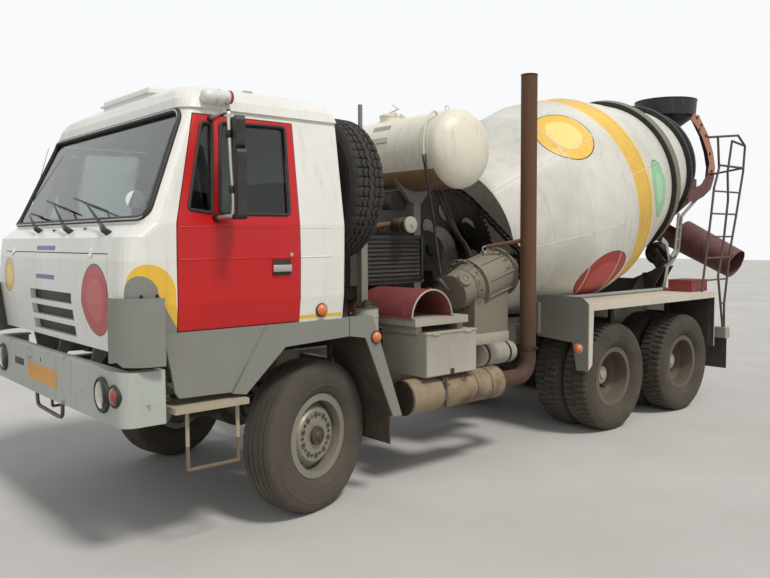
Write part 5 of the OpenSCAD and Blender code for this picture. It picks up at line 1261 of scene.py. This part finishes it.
# %% Head lamps, side lamps and markers
for side, name in SIDES:
    middle = at(1396, side * 984, 990)
    lathe_piece("headlamp_ring_" + name, [(0.083, -0.010), (0.104, -0.012), (0.1055, -0.004), (0.101, 0.006),
                                          (0.092, 0.010), (0.084, 0.006), (0.083, -0.010)], middle, FORWARD,
                56, M["gasket"], "chassis")
    lathe_piece("headlamp_bowl_" + name,
                [(0.0, 0.0006), (0.030, 0.0006), (0.0835, 0.0040), (0.0835, -0.004), (0.0, -0.004)],
                middle, FORWARD, 48, M["reflector"], "chassis")
    lathe_piece("headlamp_glass_" + name,
                [(0.0, 0.020), (0.030, 0.0185), (0.055, 0.0150), (0.075, 0.0095), (0.0835, 0.0045),
                 (0.0835, 0.0032), (0.0, 0.0150)], middle, FORWARD, 48, M["lens"], "chassis")
    middle = at(1388, side * 1150, 1004)
    lathe_piece("side_lamp_ring_" + name,
                [(0.0, -0.028), (0.064, -0.028), (0.066, 0.002), (0.062, 0.008), (0.055, 0.008), (0.053, 0.004),
                 (0.0, 0.004)], middle, FORWARD, 48, M["gasket"], "chassis")
    lathe_piece("side_lamp_lens_" + name,
                [(0.0, 0.024), (0.020, 0.0225), (0.038, 0.017), (0.049, 0.009), (0.0525, 0.003), (0.0, 0.003)],
                middle, FORWARD, 48, M["red_lens"], "chassis")
    for body, x, y, z in (("cab", 19, side_y(1406), 1406), ("chassis", -436, 1250, 1188)):
        spot = at(x, side * y, z)
        lathe_piece(f"marker_base_{body}_{name}", [(0.0, -0.010), (0.046, -0.010), (0.047, 0.004),
                                                   (0.043, 0.010), (0.040, 0.010), (0.0, 0.008)], spot,
                    (0, side, 0), 40, M["gasket"], body)
        lathe_piece(f"marker_lens_{body}_{name}", [(0.0, 0.034), (0.016, 0.032), (0.030, 0.025),
                                                   (0.038, 0.014), (0.040, 0.008), (0.0, 0.008)], spot,
                    (0, side, 0), 40, M["amber"], body)
print("lamps and markers:", 5 * len(SIDES) + 4 * len(SIDES))

# %% [markdown]
# The plate under the flap is a blank sheet with a raised edge, which an inset makes. A black slot and a
# black round disc beside it are painted shade, which stands for the dark insides of the bumper's openings.
# The tow loop is a bar that was bent by a smith and welded on at both ends, so it is a curve with straight
# pieces between its points.

# %% The bumper's plate, openings and tow loop
bm = bmesh.new()
start = set(bm.faces)
add_block(bm, at(1392, -350, 918), at(1399, 215, 1030), 0.0015)
front = [f for f in bm.faces if f not in start and f.normal.x > 0.9 and f.calc_area() > 0.05]
bmesh.ops.inset_region(bm, faces=front, thickness=0.007, depth=-0.0015)
finished("blank_plate", bm, M["plate"], "chassis")
# painted shade: black blocks for the insides of the bumper's openings
bm = bmesh.new()
add_block(bm, at(1378, -690, 982), at(1390.5, -418, 1032), 0.0008)
add_rod(bm, at(1380, -90, 1070), at(1394.8, -90, 1070), 0.014, sides=24, edge=0.0008)
finished("bumper_opening_shade", bm, M["gasket"], "chassis")
LOOP = ((-352, 840), (-350, 800), (-345, 745), (-325, 722), (-290, 716), (70, 706), (140, 712), (165, 735),
        (170, 790), (170, 840))
tube("tow_loop", [at(1345, y, z) for y, z in LOOP], 0.013, M["steel"], "chassis", smooth=False)
bm = bmesh.new()
for y in (-352, 170):
    add_block(bm, at(1290, y - 30, 832), at(1378, y + 30, 850), 0.003)
finished("tow_loop_plates", bm, M["steel"], "chassis")
print("front fittings ready")

# %% [markdown]
# Inside the cab, the seats get cushions, and a plain round card leans against the screen. A cushion
# starts as a block that is divided. Its top is then crowned and pressed in along the seams, because a flat
# block looks hard even through glass.

# %% Inside the cab
CROWN_BY, SEAM_DEPTH, SEAM_WAVE = 0.020, 0.006, 62
for side, name in SIDES:
    low, high = at(108, side * 600 - 254, 1560), at(604, side * 600 + 254, 1705)
    middle = (low + high) / 2
    bm = bmesh.new()
    add_block(bm, low, high, 0.035, 4)
    bmesh.ops.subdivide_edges(bm, edges=bm.edges[:], cuts=2, use_grid_fill=True)
    for v in bm.verts:
        reach = max(abs(v.co.x - middle.x) / 0.25, abs(v.co.y - middle.y) / 0.255)
        seam = math.cos((v.co.x - middle.x) * SEAM_WAVE) > 0.93
        if v.co.z > middle.z:
            v.co.z += CROWN_BY * (1 - min(reach, 1.0) ** 2) - SEAM_DEPTH * seam
    seat = finished("seat_cushion_" + name, bm, M["trim"], "cab")
card_out = Vector((0.52, 0.80, 0.30)).normalized()
bm = bmesh.new()
card_at = at(1112, 866, 2113)
add_rod(bm, card_at - card_out * 0.0015, card_at + card_out * 0.0015, 0.058, sides=48, edge=0.0005)
finished("round_card", bm, M["white"], "cab")
print("cab interior ready")

# %% [markdown]
# ## The water tank
# The tank is a rolled barrel with two dished ends. It has a lid with a lever on top, two lugs to lift it
# by, and two eyes. A dished end is a quarter of an oval, spun round the tank's own line, because a flat
# end would not hold against pressure. The seams are low straps round the barrel.

# %% The tank's lid, lugs, seams and ends
TANK_X, TANK_Z, TANK_HALF, DISH = -1600, 2600, 0.3212, 0.1716
tank_bm = bmesh.new()
lid = at(TANK_X, 120, 2958)
add_lathe(tank_bm, [(0.0, 0.030), (0.060, 0.027), (0.098, 0.016), (0.114, 0.004), (0.116, -0.010),
                    (0.110, -0.014), (0.0, -0.014)], lid, (0, 0, 1), 48)
add_taper(tank_bm, lid + Vector((-0.02, -0.10, 0.034)), lid + Vector((0.05, 0.15, 0.046)), 0.020, 0.014,
          0.010, 0.008, (0, 0, 1))
add_rod(tank_bm, lid + Vector((0.045, 0.135, 0.04)), lid + Vector((0.085, 0.10, 0.085)), 0.005, sides=12,
        edge=0.001)
for y in (-330, 430):
    lug_plate = rounded_loop([(-0.055, 0.0), (0.055, 0.0), (0.020, 0.070), (-0.020, 0.070)], 0.012, 1, 4)
    slab = add_slab(tank_bm, [(p.x, p.y, 0.0) for p in lug_plate], (0, 0, 0.010))
    placed(tank_bm, slab, at(TANK_X, y, 2915), LEFT, side=FORWARD)
for y in (240, 800):
    add_eye(tank_bm, 0.016, 0.026, 0.005, at(TANK_X, y, 2944), FORWARD, 28)
    add_rod(tank_bm, at(TANK_X, y, 2905), at(TANK_X, y, 2922), 0.016, 0.012, sides=16, edge=0.002)
finished("tank_fittings", tank_bm, M["tank"], "chassis")

bm = bmesh.new()
for y in (925, -925, 0):
    add_band(bm, 0.3190, 0.3225, 0.006, 0.003, at(TANK_X, y, TANK_Z), LEFT, 96)
finished("tank_seams", bm, M["tank"], "chassis")
bm = bmesh.new()
bow = [(TANK_HALF * math.cos(math.radians(a)), DISH * math.sin(math.radians(a))) for a in range(0, 90, 5)]
for side, _ in SIDES:
    add_lathe(bm, [(0.0, -0.004), (TANK_HALF, -0.004)] + bow + [(0.0, DISH)], at(TANK_X, side * 930, TANK_Z),
              (0, side, 0), 96)
finished("tank_ends", bm, M["water_tank"], "chassis")
print("tank barrel ready")

# %% [markdown]
# A sight pipe stands in front of the tank's left end, and its hose runs down to the gearbox. Two black
# hoses leave from below. Hoses that are clamped at both ends are curves through a few points, and a short
# rod covers each end. The plate on the tank is left blank.

# %% The tank's pipe, hoses and plate
tube("sight_pipe", places(((-1420, 868, 2868), (-1390, 872, 2890), (-1340, 876, 2868), (-1290, 878, 2800),
                           (-1262, 879, 2720), (-1254, 880, 2600), (-1262, 880, 2480))),
     0.009, M["tank"], "chassis")
tube("sight_hose", places(((-1262, 880, 2500), (-1290, 878, 2380), (-1345, 860, 2200), (-1400, 840, 2050),
                           (-1465, 815, 1800), (-1515, 805, 1600), (-1560, 812, 1480))),
     0.0125, M["flap"], "chassis")
for k, shift in enumerate((0.0, 0.055)):
    tube(f"tank_hose_{k + 1}", places((
        (-1640 - 900 * shift, 620, 2300), (-1690 - 900 * shift, 615, 2235), (-1745 - 900 * shift, 610, 2150),
        (-1830 - 700 * shift, 605, 2030), (-1930, 610 + 300 * shift, 1900), (-2010, 630 + 300 * shift, 1800),
        (-2040, 650 + 400 * shift, 1700))), 0.018 - 0.08 * shift, M["flap"], "chassis")
bm = bmesh.new()
add_rod(bm, at(-1640, 620, 2340), at(-1640, 620, 2285), 0.034, sides=24, edge=0.004)
add_rod(bm, at(-1690, 620, 2340), at(-1690, 620, 2285), 0.026, sides=24, edge=0.004)
add_rod(bm, at(-1258, 880, 2540), at(-1266, 880, 2480), 0.017, sides=20, edge=0.003)
add_rod(bm, at(-1500, 800, 1540), at(-1600, 820, 1440), 0.020, sides=20, edge=0.003)
finished("hose_ends", bm, M["steel"], "chassis")
bm = bmesh.new()
plate_out = Vector((0.80, 0.0, 0.60))
corners = places(((-1372, 150, 2832), (-1372, 365, 2832), (-1284, 402, 2680), (-1284, 150, 2680)))
add_slab(bm, [corner + plate_out * 0.004 for corner in corners], -plate_out * 0.008)
finished("tank_plate", bm, M["pale"], "chassis")
print("tank fittings ready")

# %% [markdown]
# ## The drum's gearbox
# The gearbox is a rusty cream casting that lies in line with the drum's axis. Its two flanges are bolted,
# and a round cover closes the inspection hole. The bolts are found from the driving sprocket's place: a
# ring of bolts round the same axis, a little inside the flange's rim.

# %% Gearbox bolts and cover
low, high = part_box("drive_sprocket")
shaft = (Vector(low) + Vector(high)) / 2
bm = bmesh.new()
for height in (-0.640, -0.616, -0.264, -0.240):
    facing = drum_axis if height in (-0.616, -0.240) else -drum_axis
    for spot in ring_points(shaft, drum_axis, 0.209, 16, height, 0.2):
        add_nut(bm, spot, facing, 0.017, 0.010)
add_lathe(bm, [(0.219, -0.628), (0.2225, -0.625), (0.2225, -0.619), (0.219, -0.616), (0.219, -0.628)], shaft,
          drum_axis, 64)
finished("gearbox_bolts", bm, M["casting"], "chassis")
touch = at(-1703, 899, 1526)
radial = away_from(shaft, drum_axis, touch).normalized()
foot = touch - radial * 0.006
bm = bmesh.new()
add_lathe(bm, [(0.0, 0.030), (0.018, 0.030), (0.022, 0.024), (0.034, 0.022), (0.040, 0.028), (0.054, 0.026),
               (0.060, 0.016), (0.062, -0.020), (0.0, -0.020)], foot, radial, 48)
for spot in ring_points(foot, radial, 0.047, 6, 0.026):
    add_nut(bm, spot, radial, 0.010, 0.005)
finished("gearbox_cover", bm, M["casting"], "chassis")
bm = bmesh.new()
eye = at(-2098, 780, 1742)
add_rod(bm, eye - Vector((0, 0, 0.03)), eye + Vector((0, 0, 0.012)), 0.016, 0.012, sides=20, edge=0.003)
add_eye(bm, 0.016, 0.030, 0.007, eye + Vector((0, 0, 0.036)), (0.6, 0.8, 0), 32)
add_block(bm, at(-2236, 596, 968), at(-1794, 938, 986), 0.003)
add_block(bm, at(-2236, 926, 968), at(-1794, 940, 1060), 0.003)
finished("gearbox_mounts", bm, M["pale"], "chassis")
print("gearbox ready")

# %% [markdown]
# ## Engine, canister and air tank
# The mixer's engine fills the dark space below the water tank. Its block gets a louvred cowl, an air
# cleaner with two straps, a ribbed sump and a pipe. A louvre is a thin block that is tilted about its
# length, and a loop stacks nine of them.

# %% The engine's cowl, air cleaner, sump and pipe
tilt = Matrix.Rotation(math.radians(28), 3, "X")
bm = bmesh.new()
for k in range(9):
    z = 1560 + k * 34
    add_block(bm, at(-1500, 556, z), at(-900, 572, z + 24), 0.002, 1, turn=tilt)
for x in (-1530, -880):
    add_block(bm, at(x - 14, 556, 1530), at(x + 14, 578, 1885), 0.003)
for z in (1530, 1872):
    add_block(bm, at(-1540, 556, z), at(-866, 578, z + 20), 0.003)
for x in (-1400, -1260, -1120, -980):
    add_rod(bm, at(x, 300, 2100), at(x, 300, 2142), 0.030, 0.026, sides=24, edge=0.004)
    add_rod(bm, at(x, 470, 2010), at(x, 545, 1960), 0.016, sides=16, edge=0.002)
finished("engine_cowl", bm, M["plastic"], "chassis")
CLEANER_X, CLEANER_Z = -1455, 2183
bm = bmesh.new()
add_lathe(bm, [(0.0, 0.0), (0.094, 0.0), (0.104, 0.010), (0.104, 0.050), (0.098, 0.056), (0.098, 0.248),
               (0.104, 0.254), (0.104, 0.294), (0.094, 0.304), (0.0, 0.304)], at(CLEANER_X, 55, CLEANER_Z),
          LEFT, 48)
for y in (120, 290):
    add_band(bm, 0.097, 0.1005, 0.010, 0.008, at(CLEANER_X, y, CLEANER_Z), LEFT)
finished("air_cleaner", bm, M["engine"], "chassis")
bm = bmesh.new()
add_block(bm, at(-1560, -110, 1372), at(-800, 440, 1506), 0.030, 4)
for x in range(-1500, -820, 85):
    add_block(bm, at(x, -116, 1392), at(x + 16, 446, 1500), 0.004)
finished("engine_sump", bm, M["engine"], "chassis")
tube("engine_pipe", [at(x, 545, z) for x, z in ((-1480, 1960), (-1380, 1985), (-1100, 1985), (-960, 1950),
                                                (-900, 1880))], 0.022, M["rusty"], "chassis")
print("engine dressed")

# %% [markdown]
# A filter can with a pale lid lies beside the engine. A canister with a screwed lid hangs behind the
# mudguard, and an air tank is strapped to the frame in front of the rear wheels. They are turned parts, so
# each is a lathe, with straps on it where the real one is held.

# %% Filter, canister and air tank
FILTER_X, FILTER_Z, CANISTER_X, CANISTER_Y, AIR_TANK_Y, AIR_TANK_Z = -1240, 1985, -620, 930, 566, 800
bm = bmesh.new()
add_rod(bm, at(FILTER_X, 552, FILTER_Z), at(FILTER_X, 742, FILTER_Z), 0.062, sides=40, edge=0.008)
add_lathe(bm, [(0.062, 0.0), (0.066, 0.004), (0.066, 0.010), (0.062, 0.014), (0.062, 0.0)],
          at(FILTER_X, 660, FILTER_Z), LEFT, 40)
finished("filter_can", bm, M["engine"], "chassis")
lathe_piece("filter_lid", [(0.0, 0.022), (0.014, 0.022), (0.018, 0.012), (0.048, 0.010), (0.066, 0.004),
                           (0.067, -0.014), (0.0, -0.014)],
            at(FILTER_X, 748, FILTER_Z), LEFT, 40, M["pale"], "chassis")
bm = bmesh.new()
add_lathe(bm, [(0.0, 0.0), (0.080, 0.0), (0.086, 0.006), (0.086, 0.380), (0.084, 0.386), (0.0, 0.386)],
          at(CANISTER_X, CANISTER_Y, 985), UP, 48)
for z in (1040, 1300):
    add_band(bm, 0.0855, 0.0885, 0.012, 0.010, at(CANISTER_X, CANISTER_Y, z), UP)
add_block(bm, at(-712, 800, 1050), at(-690, 880, 1290), 0.003)
add_block(bm, at(-712, 862, 1050), at(-640, 876, 1290), 0.003)
finished("canister", bm, M["pale"], "chassis")
lathe_piece("canister_lid", [(0.0, 0.046), (0.022, 0.046), (0.026, 0.036), (0.044, 0.032), (0.048, 0.020),
                             (0.050, 0.010), (0.092, 0.008), (0.095, 0.003), (0.095, -0.006), (0.0, -0.006)],
            at(CANISTER_X, CANISTER_Y, 1374), UP, 48, M["oily"], "chassis")
lathe_piece("air_tank", [(0.0, 0.0), (0.060, 0.006), (0.094, 0.026), (0.104, 0.055), (0.104, 0.505),
                         (0.094, 0.534), (0.060, 0.554), (0.0, 0.560)],
            at(-2160, AIR_TANK_Y, AIR_TANK_Z), (-1, 0, 0), 48, M["pale"], "chassis")
bm = bmesh.new()
for x in (-2290, -2590):
    add_band(bm, 0.1035, 0.1065, 0.014, 0.012, at(x, AIR_TANK_Y, AIR_TANK_Z), FORWARD)
    add_block(bm, at(x - 14, 436, 880), at(x + 14, 560, 906), 0.003)
add_rod(bm, at(-2440, AIR_TANK_Y, 700), at(-2440, AIR_TANK_Y, 680), 0.013, sides=6)
finished("air_tank_straps", bm, M["oily"], "chassis")
print("small plant ready")

# %% [markdown]
# ## Tool box, silencer and trough
# The tool box has a folded door with a raised edge, two hinges, and a hasp with a short chain. The
# silencer below it is held by clamps. The trough that lies across the platform has a rolled rim at each
# end and stands on two flat bars.

# %% Tool box door and hasp
bm = bmesh.new()
start = set(bm.faces)
add_block(bm, at(-1516, 1198, 832), at(-974, 1206, 1156), 0.0015)
front = [f for f in bm.faces if f not in start and f.normal.y > 0.9 and f.calc_area() > 0.05]
bmesh.ops.inset_region(bm, faces=front, thickness=0.010, depth=-0.003)
add_block(bm, at(-1520, 1150, 1150), at(-970, 1212, 1164), 0.004)
for x in (-1420, -1070):
    add_rod(bm, at(x - 34, 1209, 1146), at(x + 34, 1209, 1146), 0.007, sides=16, edge=0.001)
finished("tool_box_door", bm, M["pale"], "chassis")
bm = bmesh.new()
add_block(bm, at(-1262, 1204, 826), at(-1228, 1212, 872), 0.002)
for k in range(4):
    add_eye(bm, 0.008, 0.013, 0.0025, at(-1390, 1204, 820 - k * 17), FORWARD if k % 2 else LEFT, 20)
finished("tool_box_hasp", bm, M["oily"], "chassis")
print("tool box ready")

# %% [markdown]
# Clamps are flat straps that are bolted together round a pipe, so each is a low band on the silencer or on
# the stack. The stack's mouth has a thin lip, which keeps the tube's cut end from looking like paper.

# %% Clamps and the trough's rims
SILENCER_Y, SILENCER_Z, STACK_X, STACK_Y = 1080, 675, -2320, 1080
bm = bmesh.new()
for x, wide in ((-1175, 0.016), (-1540, 0.007), (-1715, 0.007), (-842, 0.006), (-1872, 0.006)):
    add_band(bm, 0.1315, 0.1350, wide, wide * 0.8, at(x, SILENCER_Y, SILENCER_Z), FORWARD, 64)
add_block(bm, at(-1192, 1195, 560), at(-1170, 1215, 800), 0.004)
add_rod(bm, at(-1205, 1216, 752), at(-1158, 1216, 752), 0.008, sides=6)
finished("silencer_clamps", bm, M["steel"], "chassis")
bm = bmesh.new()
add_rod(bm, at(STACK_X, 1146, 916), at(STACK_X, 1192, 916), 0.007, sides=6)
add_rod(bm, at(STACK_X, 1146, 916), at(STACK_X, 1176, 916), 0.012, sides=20, edge=0.002)
for z in (904, 928):
    add_band(bm, 0.0700, 0.0785, 0.004, 0.003, at(STACK_X, STACK_Y, z), UP)
add_lathe(bm, [(0.0640, 0.0), (0.0720, 0.0), (0.0730, -0.006), (0.0720, -0.012), (0.0640, -0.012),
               (0.0640, 0.0)], at(STACK_X, STACK_Y, 3270), UP, 48)
finished("stack_clamp", bm, M["oily"], "chassis")
TROUGH_X, TROUGH_Z, TROUGH_RADIUS = -1085, 1272, 211
for y in (1150, 152):
    bow = [at(TROUGH_X + TROUGH_RADIUS * math.cos(a), y, TROUGH_Z + TROUGH_RADIUS * math.sin(a))
           for a in (math.pi * k / 16 for k in range(17))]
    tube(f"trough_rim_{y}", bow, 0.007, M["pale"], "chassis")
bm = bmesh.new()
for x in (-1296, -874):
    add_block(bm, at(x - 16, 160, 1272), at(x + 16, 1160, 1278), 0.0015)
add_block(bm, at(-1100, 1095, 1478), at(-1070, 1135, 1496), 0.003)
finished("trough_feet", bm, M["maroon"], "chassis")
print("clamps and trough ready")

# %% [markdown]
# ## Weld beads on the drum
# The drum is welded up from rolled cones. Each joint leaves a low bead that catches the light. A bead is
# a tiny lathe with three points round the drum's axis, so it turns with the drum.

# %% Weld beads
# Place along the axis and radius of the shell
BEADS = ((-0.480, 0.900), (-0.060, 1.063), (0.379, 1.128), (0.971, 1.096), (1.440, 0.9697))
DRUM_OUTLINE = ((-0.894, 0.750), (-0.480, 0.900), (-0.060, 1.063), (0.379, 1.128), (0.640, 1.124),
                (0.971, 1.096))
SEAM_BEADS = ((0.98, -0.8, 0.36), (1.86, -0.8, 0.36), (0.35, 0.39, 0.96), (1.45, 0.39, 0.96))

def drum_radius(s):
    """Radius of the shell at a place along the axis."""
    for (sa, ra), (sb, rb) in zip(DRUM_OUTLINE, DRUM_OUTLINE[1:]):
        if s <= sb:
            return ra + (rb - ra) * (s - sa) / (sb - sa)

bm = bmesh.new()
for along, radius in BEADS:
    add_lathe(bm, [(radius - 0.002, -0.006), (radius + 0.0030, 0.0), (radius - 0.002, 0.006),
                   (radius - 0.002, -0.006)], drum_centre + drum_axis * along, drum_axis, 128)
for turn, low, high in SEAM_BEADS:
    a = turn / MAP_RADIUS
    out = drum_up * math.cos(a) + Vector(LEFT) * math.sin(a)
    stations = [low + (high - low) * k / 12 for k in range(13)]
    line = [drum_centre + drum_axis * s + out * drum_radius(s) for s in stations]
    for start, stop in zip(line, line[1:]):
        add_rod(bm, start, stop, 0.0028, sides=8)
beads = finished("drum_weld_beads", bm, M["white"], "drum", sharp=60)
print("bead faces:", len(beads.data.polygons))

# %% [markdown]
# ## Hopper and rear frame
# The hopper's rim is rolled, and its side arms are bolted on. The stays below are doubled by a second rail
# with rungs between. The rail is bent from one bar, so it is a curve, while each rung is a cut rod.

# %% Hopper rims, bolts and stays
HOPPER_X, ARM_Y, STAY_Y = -6500, 441, 413
bm = bmesh.new()
add_lathe(bm, [(0.374, -0.006), (0.388, -0.006), (0.392, 0.0), (0.388, 0.006), (0.374, 0.006), (0.374, -0.006)],
          at(HOPPER_X, 0, 3646), UP, 72)
add_band(bm, 0.372, 0.378, 0.008, 0.006, at(HOPPER_X, 0, 3452), UP, 72)
finished("hopper_rims", bm, M["black"], "chassis")
bm = bmesh.new()
for side, _ in SIDES:
    for x, z in ((-6480, 3388), (-6600, 3310), (-6720, 3180), (-6840, 2960), (-6900, 2740)):
        add_nut(bm, at(x, side * ARM_Y, z), Vector((0, side, 0)), 0.030, 0.014)
    add_rod(bm, at(-6560, side * 439, 3250), at(-6560, side * 445, 3250), 0.024, sides=28, edge=0.002)
finished("hopper_bolts", bm, M["oily"], "chassis")
RAIL = ((-6128, 2176), (-6056, 1722), (-5600, 1330))
RUNGS = (((-6195, 2140), (-6122, 2140)), ((-6175, 2000), (-6100, 2000)), ((-6152, 1850), (-6076, 1850)),
         ((-6130, 1710), (-6058, 1722)), ((-5990, 1581), (-5930, 1612)), ((-5800, 1419), (-5745, 1452)),
         ((-5670, 1310), (-5600, 1330)))
for side, name in SIDES:
    tube("stay_rail_" + name, [at(x, side * STAY_Y, z) for x, z in RAIL], 0.016, M["pale"], "chassis",
         smooth=False)
    bm = bmesh.new()
    for (x0, z0), (x1, z1) in RUNGS:
        add_rod(bm, at(x0, side * STAY_Y, z0), at(x1, side * STAY_Y, z1), 0.011, sides=12, edge=0.001)
    finished("stay_rungs_" + name, bm, M["pale"], "chassis")
print("hopper dressed")

# %% [markdown]
# The mudguard carries a bent bracket and an amber lamp that looks forwards, and the rear beam carries three
# red lamps on each side. The wash box gets its lid, two hinges and a tap.

# %% Brackets, rear lamps and wash box
bm = bmesh.new()
# Each bar of a bracket: its two ends and its width at each
BARS = (((-5300, 690, 1262), (-5390, 700, 1640), 0.060, 0.050),
        ((-5386, 700, 1630), (-5300, 720, 1800), 0.050, 0.050),
        ((-5304, 720, 1796), (-5180, 730, 1850), 0.050, 0.060))
for side, _ in SIDES:
    for (xa, ya, za), (xb, yb, zb), wide_a, wide_b in BARS:
        add_taper(bm, at(xa, side * ya, za), at(xb, side * yb, zb), wide_a, wide_b, 0.010, 0.010, (0, 1, 0))
finished("bent_brackets", bm, M["pale"], "chassis")

for side, name in SIDES:
    spot = at(-2978, side * 1150, 850)
    lathe_piece("fender_lamp_base_" + name,
                [(0.0, -0.002), (0.046, -0.002), (0.048, 0.010), (0.044, 0.016), (0.040, 0.016), (0.0, 0.014)],
                spot, FORWARD, 40, M["pale"], "chassis")
    lathe_piece("fender_lamp_lens_" + name, [(0.0, 0.044), (0.018, 0.041), (0.032, 0.032), (0.040, 0.016),
                                             (0.0, 0.016)], spot, FORWARD, 40, M["amber"], "chassis")
    bm = bmesh.new()
    for y0, y1 in ((835, 930), (935, 1030), (1035, 1130)):
        low, high = sorted((side * y0, side * y1))
        add_block(bm, at(-5914, low, 728), at(-5908, high, 804), 0.002)
    finished("tail_lamp_" + name, bm, M["red_lens"], "chassis")

bm = bmesh.new()
add_block(bm, at(-5562, 796, 1386), at(-5198, 1084, 1396), 0.003)
for x in (-5500, -5260):
    add_rod(bm, at(x - 24, 1083, 1384), at(x + 24, 1083, 1384), 0.006, sides=16, edge=0.001)
add_rod(bm, at(-5180, 748, 1282), at(-5215, 830, 1292), 0.017, sides=20, edge=0.003)
finished("wash_box_lid", bm, M["maroon"], "chassis")
print("rear fittings ready")

# %% [markdown] ## Floor, light and backdrop The truck stands on a plain pale floor. Broad clouds of
# noise keep it from looking like paper.

# %% Floor
floor_bm = bmesh.new()
bmesh.ops.create_grid(floor_bm, x_segments=8, y_segments=8, size=60.0)
floor_mesh = bpy.data.meshes.new("studio_floor")
floor_bm.to_mesh(floor_mesh)
floor_bm.free()
floor_grey, floor_pale = (0.50, 0.485, 0.46, 1), (0.56, 0.545, 0.52, 1)
floor_paint, floor_tree, floor_shader = new_material("studio_floor", floor_pale)
cloudy = ramp(floor_tree, noise(floor_tree, object_place(floor_tree), 0.6, 5.0), 0.3, 0.7)
floor_tree.links.new(mixed(floor_tree, cloudy, floor_grey, floor_pale), floor_shader.inputs["Base Color"])
floor_shader.inputs["Roughness"].default_value = 0.9
floor_mesh.materials.append(floor_paint)
floor = bpy.data.objects.new("studio_floor", floor_mesh)
scene.collection.objects.link(floor)
print("floor ready")

# %% [markdown]
# Soft light comes from a wide sky. One large lamp high on the truck's left gives the soft shadows of a
# bright overcast day, and a weak one fills the front. The Light Path node tells which kind of ray asks:
# the camera, mirrors and glass see a white sky, while the light that falls on the truck is dimmer.

# %% Light and backdrop
world = bpy.data.worlds.new("studio_sky")
scene.world = world
world.use_nodes = True
sky = world.node_tree
sky.nodes.clear()
path = sky.nodes.new("ShaderNodeLightPath")
seen = maths(sky, "MAXIMUM", path.outputs["Is Camera Ray"],
             maths(sky, "MAXIMUM", path.outputs["Is Glossy Ray"], path.outputs["Is Transmission Ray"]))
dim = node(sky, "ShaderNodeBackground", [("Color", (0.93, 0.96, 1.0, 1)), ("Strength", 0.42)])
bright = node(sky, "ShaderNodeBackground", [("Color", (0.94, 0.955, 0.97, 1)), ("Strength", 1.0)])
blend = node(sky, "ShaderNodeMixShader", [(0, seen), (1, dim.outputs[0]), (2, bright.outputs[0])])
sky.links.new(blend.outputs[0], node(sky, "ShaderNodeOutputWorld").inputs["Surface"])

def lamp(name, strength, angle, azimuth, height, colour=(1.0, 0.97, 0.92)):
    """A sun of a given apparent size, seen from the truck at an azimuth and a height in degrees."""
    light = bpy.data.lights.new(name, "SUN")
    light.energy = strength
    light.angle = math.radians(angle)
    light.color = colour
    obj = bpy.data.objects.new(name, light)
    azimuth, height = math.radians(azimuth), math.radians(height)
    toward = Vector((math.cos(azimuth) * math.cos(height), math.sin(azimuth) * math.cos(height),
                     math.sin(height)))
    obj.matrix_world = toward.to_track_quat("Z", "Y").to_matrix().to_4x4()
    scene.collection.objects.link(obj)

lamp("key_lamp", 2.15, 12.0, 92.0, 56.0)
lamp("fill_lamp", 0.45, 40.0, 30.0, 30.0, (0.92, 0.96, 1.0))
scene.view_settings.view_transform = "Standard"

# %% [markdown]
